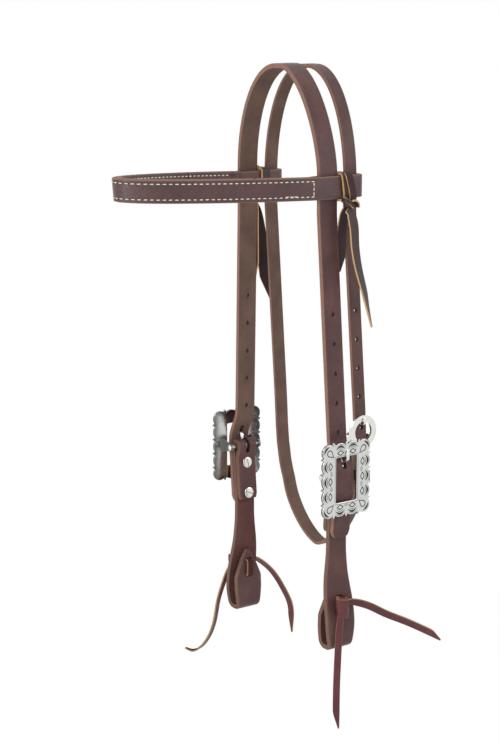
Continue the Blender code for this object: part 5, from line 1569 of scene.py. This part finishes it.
class Browband(bpy.types.Operator):
    """Lays the browband and its liner and stitches them together"""

    bl_idname = "headstall.browband"
    bl_label = "Browband and stitching"

    def execute(self, context):
        shares = between(0.0, 1.0, BROW_STEPS)
        near = return_stations(1)[::-1] + brow_fold(1)[::-1] + brow_curve(0.0, shares, 1)
        far = brow_curve(0.0, shares[:-1], -1)[::-1] + brow_fold(-1) + return_stations(-1)
        band = lay_strap((near + far)[::-1], BROW_THICK, BAND_FINISH)
        dress(band, "browband_outer", "browband", "browband_leather", "browband_strap")
        inner = [share for share in shares if brow_frame(share, 1)[0].y < BROW_START - BROW_RETURN]
        start = inner[0] - (inner[0] - shares[shares.index(inner[0]) - 1]) / 2
        inner = [start, *inner]
        near = brow_curve(BROW_PLY, inner, 1)
        far = brow_curve(BROW_PLY, inner[:-1], -1)[::-1]
        liner = lay_strap(near + far, BROW_THICK, BAND_FINISH)
        dress(liner, "browband_lining", "browband", "browband_leather", "browband_liner")

        stitches = stitch_mesh(
            "browband_stitches", stitch_places(), sizes().stitch_pitch * STITCH_SHARE,
            sizes().thread_radius)
        dress(stitches, "browband_stitches", "browband", "browband_leather", angle=60)
        return {"FINISHED"}


# Browband ties


def ring_stations(side, low_x, high_x, low_z, high_z):
    """A thong round the browband: wide on the outer face and slimmer between the straps."""
    stations = []
    for x, z in rounded_rectangle((low_x, low_z), (high_x, high_z), TIE_CORNER):
        outside = ease(ramp(x, high_x - TIE_CORNER, high_x))
        skew = TIE_SKEW * ramp(z, high_z, low_z) * outside
        half = TIE_WIDTH / 2 + (TIE_FACE_WIDTH - TIE_WIDTH) / 2 * outside
        stations.append(((side * x, TIE_Y + skew, z), (0, -side, 0), half))
    # The long run down the outer face is read more finely, so that it can bow a little.
    last, first = stations[-1], stations[0]
    for share in (0.25, 0.5, 0.75):
        middle = Vector(last[0]).lerp(Vector(first[0]), share)
        middle.x += side * TIE_BOW * math.sin(math.pi * share)
        stations.append((middle, last[1], last[2]))
    return stations


def tail_stations(points, start_across, end_across, width, tip=0.0, slant=0.0):
    """A free end: drawn in at its knot, flat along its length and cut to a point.

    The tip is the share of the length that the point takes. A slant of 1 or -1 cuts it from one
    side only.
    """
    places = smooth_points(points, TAIL_STEPS)
    start_across, end_across = Vector(start_across), Vector(end_across)
    stations = []
    for index, place in enumerate(places):
        share = index / TAIL_STEPS
        along = (places[min(index + 1, TAIL_STEPS)] - places[max(index - 1, 0)]).normalized()
        across = start_across.lerp(end_across, share)
        across = (across - along * across.dot(along)).normalized()
        drawn = KNOT_WIDTH_SHARE + (1 - KNOT_WIDTH_SHARE) * ease(ramp(share, 0.0, DRAWN_IN_SHARE))
        if tip:
            drawn *= 1 - (1 - TIP_WIDTH_SHARE) * ramp(share, 1 - tip, 1.0)
        half = width / 2 * drawn
        cut_off = width / 2 - half if share > 1 - tip else 0.0
        stations.append((place + across * (slant * cut_off), across, half))
    return places, stations


def wrap(centre, half_x, half_y, tilt, width, finish):
    """One turn of a thong round a knot, tilted so that its edges run down to the rear."""
    stations = []
    for index in range(WRAP_STEPS):
        turn = 2 * math.pi * index / WRAP_STEPS
        x = math.copysign(abs(math.cos(turn)) ** WRAP_SQUARENESS, math.cos(turn)) * half_x
        y = math.copysign(abs(math.sin(turn)) ** WRAP_SQUARENESS, math.sin(turn)) * half_y
        stations.append((Vector(centre) + Vector((x, y, -tilt * y)), UP, width / 2))
    return lay_strap(
        stations, DRAWN_THICK, finish, edge=sizes().thong_edge, closed=True, columns=2)


def strand(points, start_across, end_across, width, finish):
    """A short run of thong drawn over a knot."""
    _, stations = tail_stations(points, start_across, end_across, width)
    return lay_strap(stations, DRAWN_THICK, finish, edge=sizes().thong_edge, columns=2)


def knot_core(centre, size, finish):
    """The thong's turns inside a knot, as a soft lump that the outer turns lie on."""
    return rounded(block(centre, size), min(size) * KNOT_SOFTNESS, 4, finish)


class BrowbandTies(bpy.types.Operator):
    """Ties a thong round the browband between the two straps on each side"""

    bl_idname = "headstall.browband_ties"
    bl_label = "Browband ties"

    def execute(self, context):
        edge = sizes().thong_edge
        for side, name in SIDES:
            off = FIT + TIE_THICK / 2
            low_x = BROW_INNER_X - BROW_THICK / 2 - off
            high_x = BROW_OUTER_X + BROW_THICK / 2 + off
            low_z = brow_level(side) - BROW_WIDTH / 2 - off
            high_z = brow_level(side) + BROW_WIDTH / 2 + off
            ring = ring_stations(side, low_x, high_x, low_z, high_z)
            tie = lay_strap(ring, TIE_THICK, THONG_FINISH, edge=edge, closed=True)
            knot = Vector((
                side * (high_x + TIE_KNOT_DEPTH / 2 - TIE_KNOT_SINK), TIE_Y,
                low_z - TIE_KNOT_HEIGHT / 2 + TIE_KNOT_SINK))
            core = knot_core(knot, TIE_CORE, THONG_FINISH)
            turn = wrap(
                knot + UP * TIE_WRAP_RISE, TIE_WRAP_HALF_DEPTH, TIE_WRAP_HALF_WIDTH,
                TIE_WRAP_TILT, TIE_KNOT_HEIGHT / 2, THONG_FINISH)
            over = [(side * (high_x + out), TIE_Y + back, z) for out, back, z in (
                (-0.0006, 0.0006, high_z + 0.0012), (TIE_THICK * 0.9, 0.0016, high_z - 0.0016),
                (TIE_THICK, 0.0044, (high_z + low_z) / 2), (TIE_THICK, 0.0060, low_z + 0.0012),
                (TIE_THICK * 0.6, 0.0030, low_z - 0.0036))]
            level = (0, -side, 0)
            pieces = [core, turn, strand(over, level, level, OVER_WIDTH, THONG_FINISH)]
            if side > 0:
                start = knot + Vector((TIE_KNOT_DEPTH * 0.35, TIE_KNOT_WIDTH * 0.25, 0.0016))
                curl = [start + Vector(step) for step in CURL_STEPS]
                pieces.append(strand(curl, (1, 0.2, 0.5), (1, 0.2, 0.2), CURL_WIDTH, THONG_FINISH))
            tie = join(tie, *pieces)
            dress(tie, f"{name}_tie_thong", "browband", "tie_thong", f"{name}_browband_tie")
        return {"FINISHED"}


# Bit laces


class BitLaces(bpy.types.Operator):
    """Laces both bit loops shut, with a wrapped knot on the outer side"""

    bl_idname = "headstall.bit_laces"
    bl_label = "Bit laces"

    def execute(self, context):
        edge = sizes().thong_edge
        for side, name in SIDES:
            high_z, low_z = BAR_Z - LACE_SLOT_UP, BAR_Z - LACE_SLOT_LOW
            inner_x = flap_x(low_z) - CHEEK_THICK / 2 - FIT * 2 - LACE_THICK / 2
            knot_back = cheek_x(low_z) + CHEEK_THICK / 2 + FIT + LACE_KNOT_STANDOFF
            end_x = knot_back + LACE_KNOT_DEPTH / 2
            turn_x = inner_x + LACE_CORNER
            quarter = math.pi / 2
            route = [(end_x, high_z)]
            route += arc((turn_x, high_z - LACE_CORNER), LACE_CORNER, quarter, 2 * quarter, 6)
            route += arc((turn_x, low_z + LACE_CORNER), LACE_CORNER, 2 * quarter, 3 * quarter, 6)
            route.append((end_x, low_z))
            stations = [((side * x, LEG_LEAN, z), (0, side, 0), LACE_WIDTH / 2) for x, z in route]
            lace = lay_strap(stations, LACE_THICK, LACE_FINISH, edge=edge, columns=2)
            middle = Vector((
                side * (knot_back + LACE_KNOT_DEPTH / 2), LEG_LEAN - LACE_KNOT_FORWARD,
                (high_z + low_z) / 2))
            pieces = [knot_core(middle, LACE_CORE, LACE_FINISH)]
            for rise, wide, tilt in LACE_WRAPS:
                pieces.append(wrap(
                    middle + UP * rise, LACE_WRAP_HALF_DEPTH, LACE_WRAP_HALF_WIDTH * wide, tilt,
                    LACE_WRAP_WIDTH, LACE_FINISH))
            lace = join(lace, *pieces)
            dress(lace, f"{name}_lace_knot", f"{name}_cheek", "bit_lace_leather",
                  f"{name}_bit_lace")
        return {"FINISHED"}


class FreeEnds(bpy.types.Operator):
    """Hangs the free ends of the ties and laces"""

    bl_idname = "headstall.free_ends"
    bl_label = "Free ends"

    def execute(self, context):
        for name, body, points, start, end, width, slant in FREE_ENDS:
            is_lace = "lace" in name
            tip = LACE_TIP_SHARE if is_lace else TIE_TIP_SHARE
            places, stations = tail_stations(points, start, end, width, tip, slant)
            finish = LACE_FINISH if is_lace else THONG_FINISH
            tail = lay_strap(stations, TAIL_THICK, finish, edge=sizes().thong_edge, columns=2)
            slot = "bit_lace_leather" if is_lace else "tie_thong"
            dress(tail, f"{name}_leather", body, slot, name)
            length = sum((b - a).length for a, b in zip(places, places[1:]))
        return {"FINISHED"}


# Scalloped buckles


def plate_sides():
    """Corner, direction along, outward direction, length between lobes and scallop count."""
    half_w = PLATE_WIDTH / 2 - SCALLOP_DEPTH
    half_h = PLATE_HEIGHT / 2 - SCALLOP_DEPTH
    corners = ((half_w, half_h), (-half_w, half_h), (-half_w, -half_h), (half_w, -half_h))
    for index, corner in enumerate(corners):
        here, after = Vector(corner), Vector(corners[(index + 1) % 4])
        along = (after - here).normalized()
        out = Vector((along.y, -along.x))
        length = (after - here).length - 2 * CORNER_LOBE_WIDTH
        yield here, along, out, length, SCALLOPS_ACROSS if index % 2 == 0 else SCALLOPS_DOWN


def corner_lobe(corner):
    """Centre and radius of the round lobe at a corner."""
    reach = CORNER_LOBE_WIDTH + SCALLOP_DEPTH
    inset = reach - math.sqrt(2 * SCALLOP_DEPTH * reach)
    centre = Vector((corner.x - math.copysign(inset, corner.x),
                     corner.y - math.copysign(inset, corner.y)))
    return centre, inset + SCALLOP_DEPTH, math.atan2(inset, CORNER_LOBE_WIDTH - inset)


def scallop_outline(steps=14):
    """The plate's edge: a round lobe at each corner, with scallops between them."""
    outline = []
    for index, (corner, along, out, length, count) in enumerate(plate_sides()):
        turn = index * math.pi / 2
        centre, radius, swing = corner_lobe(corner)
        for angle in between(swing - math.pi / 2, math.pi - swing, 2 * steps):
            pointing = Vector((math.cos(angle + turn), math.sin(angle + turn)))
            outline.append(centre + pointing * radius)
        pitch = length / count
        radius = (pitch**2 / 4 + SCALLOP_DEPTH**2) / (2 * SCALLOP_DEPTH)
        half_turn = math.asin(pitch / 2 / radius)
        for k in range(count):
            middle = corner + along * (CORNER_LOBE_WIDTH + pitch * (k + 0.5))
            middle += out * (SCALLOP_DEPTH - radius)
            for angle in between(-half_turn, half_turn, steps)[(0 if k else 1):-1]:
                outline.append(
                    middle + (along * math.sin(angle) + out * math.cos(angle)) * radius)
    return outline


def rounded_window():
    half_w, half_h = WINDOW_WIDTH / 2, WINDOW_HEIGHT / 2
    return rounded_rectangle((-half_w, -half_h), (half_w, half_h), WINDOW_CORNER_RADIUS)


def crescent(middle, along, out, half, peak, fall, thick, steps=10):
    """A cut between two arcs that meet at its ends. Its outer arc peaks at a height above the
    middle and falls by so much at its ends."""
    loop = []
    for share in between(-1.0, 1.0, steps):
        loop.append(middle + along * (half * share) + out * (peak - fall * share**2))
    for share in between(1.0, -1.0, steps)[1:-1]:
        low = peak - fall * share**2 - thick * (1 - share**2)
        loop.append(middle + along * (half * share) + out * low)
    return loop


def diamond(middle, along, out, half, deep):
    """An eye shape: a diamond with slightly bowed sides."""
    loop = []
    for turn in between(0.0, 2 * math.pi, 24)[:-1]:
        a, o = math.cos(turn), math.sin(turn)
        pinch = (abs(a) ** 1.25 + abs(o) ** 1.25) ** (-1 / 1.25)
        loop.append(middle + along * (half * a * pinch) + out * (deep * o * pinch))
    return loop


def teardrop(centre, direction, radius, length, steps=16):
    """A drop with its round end away from the direction and its point along it."""
    side = Vector((-direction.y, direction.x))
    tangent = math.acos(radius / length)
    loop = [centre + direction * length]
    for angle in between(tangent, 2 * math.pi - tangent, steps):
        loop.append(centre + (direction * math.cos(angle) + side * math.sin(angle)) * radius)
    return loop


def ray(origin, direction, near, far, near_half, far_half):
    """A thin cut that widens outward to a point."""
    side = Vector((-direction.y, direction.x))
    low, high = origin + direction * near, origin + direction * far
    return [low - side * near_half, high - side * far_half, origin + direction * (far + far_half),
            high + side * far_half, low + side * near_half]


def fan(centre, out, reach, thick, swing, steps=14):
    """A crescent bent round a point."""
    side = Vector((out.y, -out.x))

    def at(share, radius):
        turn = math.radians(swing) * share
        return centre + (out * math.cos(turn) + side * math.sin(turn)) * radius

    loop = [at(share, reach) for share in between(-1.0, 1.0, steps)]
    for share in between(1.0, -1.0, steps)[1:-1]:
        loop.append(at(share, reach - thick * (1 - share**2)))
    return loop


def engraved_cuts():
    """Outlines of every cut in one plate, seen from its front."""
    cuts = []
    for corner, along, out, length, count in plate_sides():
        pitch = length / count
        start = corner + along * CORNER_LOBE_WIDTH
        for k in range(count):
            middle = start + along * (pitch * (k + 0.5))
            for half, peak, fall, thick in PETAL_CUTS:
                cuts.append(crescent(middle, along, out, half, peak, fall, thick))
            heart = middle - out * EYE_DEPTH
            for half, deep in EYE_CUTS:
                cuts.append(diamond(heart, along, out, half, deep))
        for k in range(1, count):
            origin = start + along * (pitch * k) - out * RAY_DEPTH
            for degrees in RAY_TURNS:
                turn = math.radians(degrees)
                direction = out * math.cos(turn) + along * math.sin(turn)
                cuts.append(ray(origin, direction, *RAY_CUT))
        centre = corner_lobe(corner)[0]
        inward = -Vector((
            math.copysign(CORNER_LEAN[0], corner.x), math.copysign(CORNER_LEAN[1], corner.y)))
        inward = inward.normalized()
        for reach, thick, swing in CORNER_FANS:
            cuts.append(fan(centre - inward * FAN_SET_BACK, -inward, reach, thick, swing))
        heart = centre + inward * DROP_AHEAD
        for ahead, radius, reach in CORNER_DROPS:
            cuts.append(teardrop(heart + inward * ahead, inward, radius, reach))
    for past in (WINDOW_LINE_WIDTH, 0.0):
        w, h = (across / 2 + WINDOW_LINE + past for across in (WINDOW_WIDTH, WINDOW_HEIGHT))
        cuts.append([Vector((w, h)), Vector((-w, h)), Vector((-w, -h)), Vector((w, -h))])
    return cuts


def edge_nubs():
    """Base point and outward direction of the small points between the scallops."""
    for corner, along, out, length, count in plate_sides():
        start = corner + along * CORNER_LOBE_WIDTH
        for k in range(count + 1):
            yield start + along * (length / count * k), along, out


def arm_outline():
    """One side arm seen from the side, as (x from the bar, z from the bar)."""
    front = plate_back_x() - BAR_X + ARM_SINK
    foot = ARM_ABOVE_BAR * 0.8
    loop = [(front, -foot), (front, foot), (front * 0.4, ARM_BEHIND_BAR)]
    loop += arc((0, 0), ARM_BEHIND_BAR, math.pi / 2, math.pi * 1.5, 12)
    loop.append((front * 0.4, -ARM_BEHIND_BAR))
    return loop


class ScallopedBuckles(bpy.types.Operator):
    """Cuts, engraves and assembles the two scalloped buckle plates and their bars"""

    bl_idname = "headstall.scalloped_buckles"
    bl_label = "Scalloped buckles"

    def execute(self, context):
        depth = sizes().engraving_depth
        edge = sizes().metal_edge
        for side, name in SIDES:
            middle = Vector((side * (plate_back_x() + PLATE_THICK / 2), LEG_LEAN, BAR_Z))
            plate = flat_shape([scallop_outline(), rounded_window()], PLATE_THICK)
            round_rims(plate, edge * 1.2)
            paint(plate, PLATE_FINISH)
            cutter = flat_shape(engraved_cuts(), 2 * PLATE_THICK)
            cutter.location.z = side * (PLATE_THICK * 1.5 - depth)
            carve(plate, cutter, PLATE_FINISH, index=1)
            # Back faces take the back finish; side walls take the darker silver, as painted shade.
            for face in plate.data.polygons:
                if face.normal.z * side < -0.9:
                    face.material_index = 2
                elif face.normal.z * side < 0.5 and face.material_index == 0:
                    face.material_index = 3
            plate.matrix_world = Matrix.Translation(middle) @ UPRIGHT
            settle(plate)
            pieces = []
            for base, along, out in edge_nubs():
                shoulder = base + out * NUB_SHOULDER
                tip = [base - out * NUB_ROOT, shoulder + along * NUB_HALF,
                       base + out * NUB_TIP, shoulder - along * NUB_HALF]
                nub = upright_shape([tip], PLATE_THICK * 0.9, middle + OUT * (side * 0.0002))
                settle(nub)
                paint(nub, PLATE_FINISH)
                # All but the front of each point takes the darker silver, as painted shade.
                for face in nub.data.polygons:
                    if face.normal.x * side < 0.5:
                        face.material_index = 3
                bevel(nub, edge, segments=2, angle=40)
                apply_modifiers(nub)
                pieces.append(nub)
            turned_up = Matrix(((side, 0, 0, 0), (0, 0, -side, 0), (0, 1, 0, 0), (0, 0, 0, 1)))
            for end in (-1, 1):
                arm = flat_shape([arm_outline()], ARM_THICK)
                place = Vector((side * BAR_X, LEG_LEAN + end * ARM_OFFSET, BAR_Z))
                arm.matrix_world = Matrix.Translation(place) @ turned_up
                # The arms are all in the darker silver, as painted shade.
                pieces.append(rounded(arm, edge, 3, PLATE_FINISH, 3))
            plate = join(plate, *pieces)
            dress(plate, f"{name}_scalloped_plate", "headstall", "engraved_silver",
                  f"{name}_buckle_frame", angle=35)

            reach = ARM_OFFSET + ARM_THICK / 2 + FIT
            head = [(BAR_HEAD_RADIUS * out, reach + BAR_HEAD_THICK * up) for out, up in BAR_DOME]
            head.append((BAR_RADIUS, reach))
            bar = turned(head + [(radius, -height) for radius, height in head[::-1]])
            bar.location = (side * BAR_X, LEG_LEAN, BAR_Z)
            bar.rotation_euler = (math.radians(90), 0, 0)
            paint(bar, NICKEL_FINISH)
            dress(bar, f"{name}_bar", "headstall", "engraved_silver", f"{name}_buckle_bar")
        return {"FINISHED"}


def tongue_stations(bar, side, radius, width, bend_rise, reach, rest_x, tip):
    """A flat tongue round its bar and up to its tip on the front of the frame."""
    ring = radius + FIT + TONGUE_THICK / 2
    route = [(ring * math.cos(angle), ring * math.sin(angle))
             for angle in between(math.radians(-300), math.radians(20), 26)]
    rest = rest_x + TONGUE_THICK / 2 + FIT
    rise = reach - tip
    route.append((ring + TONGUE_THICK / 4, bend_rise / 2))
    for t in between(0.0, 1.0, EASE_STEPS):
        x = ring + TONGUE_THICK / 2 + (rest - ring - TONGUE_THICK / 2) * ease(t)
        route.append((x, bend_rise + (rise - bend_rise) * t))
    route = [(x, z, 1.0) for x, z in route]
    route += [(rest, rise + tip * share, narrow) for share, narrow in TONGUE_TIP]
    return [(bar + Vector((side * x, 0, z)), (0, -side, 0), width / 2 * narrow)
            for x, z, narrow in route]


class BuckleTongues(bpy.types.Operator):
    """Bends the three tongues round their bars"""

    bl_idname = "headstall.buckle_tongues"
    bl_label = "Buckle tongues"

    def execute(self, context):
        edge = sizes().metal_edge
        front = plate_back_x() + PLATE_THICK - BAR_X
        throat_front = shoe_back_x() + SHOE_THICK - THROAT_BAR_X
        throat_bar = Vector((THROAT_BAR_X, throat_y(THROAT_BAR_Z), THROAT_BAR_Z))
        rows = [("throat", 1, throat_bar, THROAT_BAR_RADIUS, THROAT_TONGUE_WIDTH,
                 THROAT_TONGUE_BEND, THROAT_TONGUE_REACH, throat_front, THROAT_TONGUE_TIP)]
        for side, name in SIDES:
            rows.append((name, side, Vector((side * BAR_X, LEG_LEAN, BAR_Z)), BAR_RADIUS,
                         TONGUE_WIDTH, TONGUE_BEND_RISE, TONGUE_REACH, front, TONGUE_TIP_LENGTH))
        for name, side, bar, radius, width, bend, reach, rest, tip in rows:
            stations = tongue_stations(bar, side, radius, width, bend, reach, rest, tip)
            tongue = lay_strap(stations, TONGUE_THICK, NICKEL_FINISH, edge=edge, columns=2)
            dress(tongue, f"{name}_tongue_blade", f"{name}_tongue", "engraved_silver",
                  f"{name}_buckle_tongue")
        return {"FINISHED"}


def shoe_outline():
    """Horseshoe ring, open below, as (across, up) from its centre."""
    end = SHOE_PAST_SIDE
    middle, lip = (SHOE_RADIUS + SHOE_INNER) / 2, (SHOE_RADIUS - SHOE_INNER) / 2
    outer = arc((0, 0), SHOE_RADIUS, -end, math.pi + end, 52)
    inner = arc((0, 0), SHOE_INNER, math.pi + end, -end, 52)
    tips = []
    for turn, first in ((math.pi + end, math.pi + end), (-end, math.pi - end)):
        centre = (middle * math.cos(turn), middle * math.sin(turn))
        tips.append(arc(centre, lip, first, first + math.pi, 8)[1:-1])
    return outer + tips[0] + inner + tips[1]


class ThroatBuckle(bpy.types.Operator):
    """Casts the plain horseshoe buckle of the throatlatch"""

    bl_idname = "headstall.throat_buckle"
    bl_label = "Throatlatch buckle"

    def execute(self, context):
        y = throat_y(THROAT_BAR_Z)
        middle = Vector((shoe_back_x() + SHOE_THICK / 2, y, THROAT_BAR_Z + SHOE_CENTRE_RISE))
        shoe = upright_shape([shoe_outline()], SHOE_THICK, middle)
        rounded(shoe, SHOE_THICK * 0.36, 4)
        front = shoe_back_x() + ARM_SINK
        behind = THROAT_BAR_X - THROAT_BAR_RADIUS - sizes().metal_edge
        lug = (SHOE_RADIUS - SHOE_INNER) / 2
        pieces = []
        for end in (-1, 1):
            arm = block(((front + behind) / 2, y + end * (SHOE_INNER + lug / 2), THROAT_BAR_Z),
                        (front - behind, lug, SHOE_ARM_HEIGHT))
            pieces.append(rounded(arm, lug * 0.28, 3))
        heel = rod((THROAT_BAR_X, y, THROAT_BAR_Z), (0, 1, 0), THROAT_BAR_RADIUS,
                   2 * SHOE_INNER + lug, 32)
        settle(heel)
        paint(heel, NICKEL_FINISH)
        shoe = join(shoe, heel, *pieces)
        dress(shoe, "throat_horseshoe", "headstall", "engraved_silver", "throat_buckle_frame")
        return {"FINISHED"}


class PostsAndScrews(bpy.types.Operator):
    """Turns the posts and slotted screws that close the folds"""

    bl_idname = "headstall.posts_and_screws"
    bl_label = "Posts and screws"

    def execute(self, context):
        rows = [("throat_fold", "headstall", throat_seat(), OUT, 2 * THROAT_THICK + FIT,
                 SMALL_POST_HEAD, SMALL_SCREW_HEAD, THROAT_SLOT_TURN)]
        for side, name in SIDES:
            for place, drop, turn in CHEEK_SCREWS:
                rows.append((f"{name}_cheek_{place}", f"{name}_cheek", screw_seat(side, drop),
                             slanted(side), 2 * CHEEK_THICK + FIT, POST_HEAD_RADIUS,
                             SCREW_HEAD_RADIUS, turn))
        for name, body, seat, axis, grip, head, screw_head, turn in rows:
            floor = RECESS_DEPTH - FIT
            rise = -floor + POST_HEAD_THICK
            profile = [(head * out, rise - POST_HEAD_THICK * down) for out, down in POST_DOME]
            profile += [(head, -floor), (POST_RADIUS, -floor), (POST_RADIUS, FIT - grip),
                        (0.0, FIT - grip)]
            stand = Matrix.Translation(seat) @ axis.to_track_quat("Z", "Y").to_matrix().to_4x4()
            post = turned(profile)
            post.matrix_world = stand
            paint(post, NICKEL_FINISH)
            dress(post, f"{name}_post_head", body, "bright_nickel", f"{name}_post")
            low = -grip - FIT
            deep = low - SCREW_HEAD_THICK
            profile = [(0.0, low), (screw_head, low)]
            profile += [(screw_head * out, deep + SCREW_HEAD_THICK * up) for out, up in SCREW_DOME]
            screw = turned(profile)
            screw.matrix_world = stand
            settle(screw)
            paint(screw, SCREW_FINISH)
            slot = block((0, 0, 0), (1, 1, 1))
            size = Matrix.Diagonal((3 * screw_head, SCREW_SLOT_WIDTH, 2 * SCREW_SLOT_DEPTH, 1))
            slot.matrix_world = (stand @ Matrix.Translation((0, 0, deep))
                                 @ Matrix.Rotation(math.radians(turn), 4, "Z") @ size)
            # The slot's faces take the darker nickel, as painted shade.
            carve(screw, slot, SCREW_FINISH, index=1)
            dress(screw, f"{name}_screw_head", body, "bright_nickel", f"{name}_screw")
        return {"FINISHED"}


# Stage


def studio_light(name, place, target, size, watts):
    lamp = bpy.data.lights.new(name, "AREA")
    lamp.shape = "DISK"
    lamp.size = size
    lamp.energy = watts
    obj = bpy.data.objects.new(name, lamp)
    obj.location = place
    direction = Vector(target) - Vector(place)
    obj.rotation_euler = direction.to_track_quat("-Z", "Y").to_euler()
    bpy.context.scene.collection.objects.link(obj)


def seen_directly(tree):
    """1 for what the camera sees, also in metal and through glass."""
    path = tree.nodes.new("ShaderNodeLightPath")
    seen = path.outputs["Is Camera Ray"]
    for name in ("Is Glossy Ray", "Is Transmission Ray"):
        either = tree.nodes.new("ShaderNodeMath")
        either.operation = "MAXIMUM"
        tree.links.new(seen, either.inputs[0])
        tree.links.new(path.outputs[name], either.inputs[1])
        seen = either.outputs[0]
    return seen


def blend_shaders(tree, mixed, first, second, output):
    """Plugs two shaders into a Mix Shader, and its result into the tree's output node."""
    tree.links.new(first.outputs[0], mixed.inputs[1])
    tree.links.new(second.outputs[0], mixed.inputs[2])
    tree.links.new(mixed.outputs[0], tree.nodes[output].inputs["Surface"])


class Stage(bpy.types.Operator):
    """Sets the camera, the soft lights and the pale floor"""

    bl_idname = "headstall.stage"
    bl_label = "Camera, light and floor"

    def execute(self, context):
        scene = context.scene
        turn, tilt = CAMERA_TURN, CAMERA_TILT
        forward = Vector((
            -math.sin(turn) * math.cos(tilt), math.cos(turn) * math.cos(tilt), -math.sin(tilt)))
        camera = bpy.data.cameras.new("camera")
        camera.sensor_fit = "VERTICAL"
        camera.sensor_height = 36
        camera.lens = FOCAL_PIXELS * camera.sensor_height / PHOTO_HEIGHT
        camera.clip_start = 0.01
        eye = bpy.data.objects.new("camera", camera)
        eye.location = CAMERA_PLACE
        eye.rotation_euler = forward.to_track_quat("-Z", "Y").to_euler()
        scene.collection.objects.link(eye)
        scene.camera = eye

        middle = (CAD_BOX[0] + CAD_BOX[1]) / 2
        for name, place, target, size, watts in LIGHTS:
            studio_light(name, place, target or middle, size, watts)

        world = bpy.data.worlds.new("studio")
        world.use_nodes = True
        scene.world = world
        tree = world.node_tree
        soft = tree.nodes["Background"]
        soft.inputs["Color"].default_value = (1, 1, 1, 1)
        soft.inputs["Strength"].default_value = SKY_STRENGTH
        white = tree.nodes.new("ShaderNodeBackground")
        white.inputs["Color"].default_value = (1, 1, 1, 1)
        chosen = tree.nodes.new("ShaderNodeMixShader")
        tree.links.new(seen_directly(tree), chosen.inputs["Fac"])
        blend_shaders(tree, chosen, soft, white, "World Output")

        deselect()
        bpy.ops.mesh.primitive_circle_add(
            vertices=FLOOR_SIDES, radius=FLOOR_RADIUS, fill_type="NGON",
            location=(0, 0, CAD_BOX[0].z - sizes().hanging_height))
        floor = context.object
        floor.name = "studio_floor"
        settle(floor)
        paper = Recipe("studio_floor")
        paper.set(Base_Color=tuple(colours().floor), Roughness=0.85, Specular_IOR_Level=0.1)
        glow = paper.tree.nodes.new("ShaderNodeEmission")
        mixed = paper.tree.nodes.new("ShaderNodeMixShader")
        distance = paper.node(
            "ShaderNodeVectorMath", {"operation": "LENGTH"}, {0: paper.place}, output="Value")
        seen = Wire(paper, seen_directly(paper.tree))
        fade = paper.step(distance, *FLOOR_FADE)
        paper.plug(mixed.inputs["Fac"], seen * (FLOOR_GLOW + fade * (1 - FLOOR_GLOW)))
        blend_shaders(paper.tree, mixed, paper.shader, glow, "Material Output")
        floor.data.materials.append(paper.material)
        scene.view_settings.view_transform = "Standard"
        return {"FINISHED"}


STEPS = (
    Stage, FreeEnds, CrownStrap, Throatlatch, CheekStraps, Browband, BrowbandTies, BitLaces,
    ScallopedBuckles, BuckleTongues, ThroatBuckle, PostsAndScrews,
)


class HeadstallPanel(bpy.types.Panel):
    """Lists the pieces of the headstall"""

    bl_idname = "VIEW3D_PT_headstall"
    bl_label = "Western Headstall"
    bl_space_type = "VIEW_3D"
    bl_region_type = "UI"
    bl_category = "Headstall"

    def draw(self, context):
        for group in (context.scene.headstall_sizes, context.scene.headstall_colours):
            column = self.layout.column(align=True)
            for name in group.bl_rna.properties.keys():
                if name not in ("rna_type", "name"):
                    column.prop(group, name)
        for step in STEPS:
            self.layout.operator(step.bl_idname)


CLASSES = (HeadstallSizes, HeadstallColours, *STEPS, HeadstallPanel)


def register():
    for each in CLASSES:
        bpy.utils.register_class(each)
    bpy.types.Scene.headstall_sizes = bpy.props.PointerProperty(type=HeadstallSizes)
    bpy.types.Scene.headstall_colours = bpy.props.PointerProperty(type=HeadstallColours)


def unregister():
    del bpy.types.Scene.headstall_colours
    del bpy.types.Scene.headstall_sizes
    for each in reversed(CLASSES):
        bpy.utils.unregister_class(each)


def main():
    register()
    for step in STEPS:
        group, name = step.bl_idname.split(".")
        getattr(getattr(bpy.ops, group), name)()
    deselect()


if __name__ == "__main__":
    main()
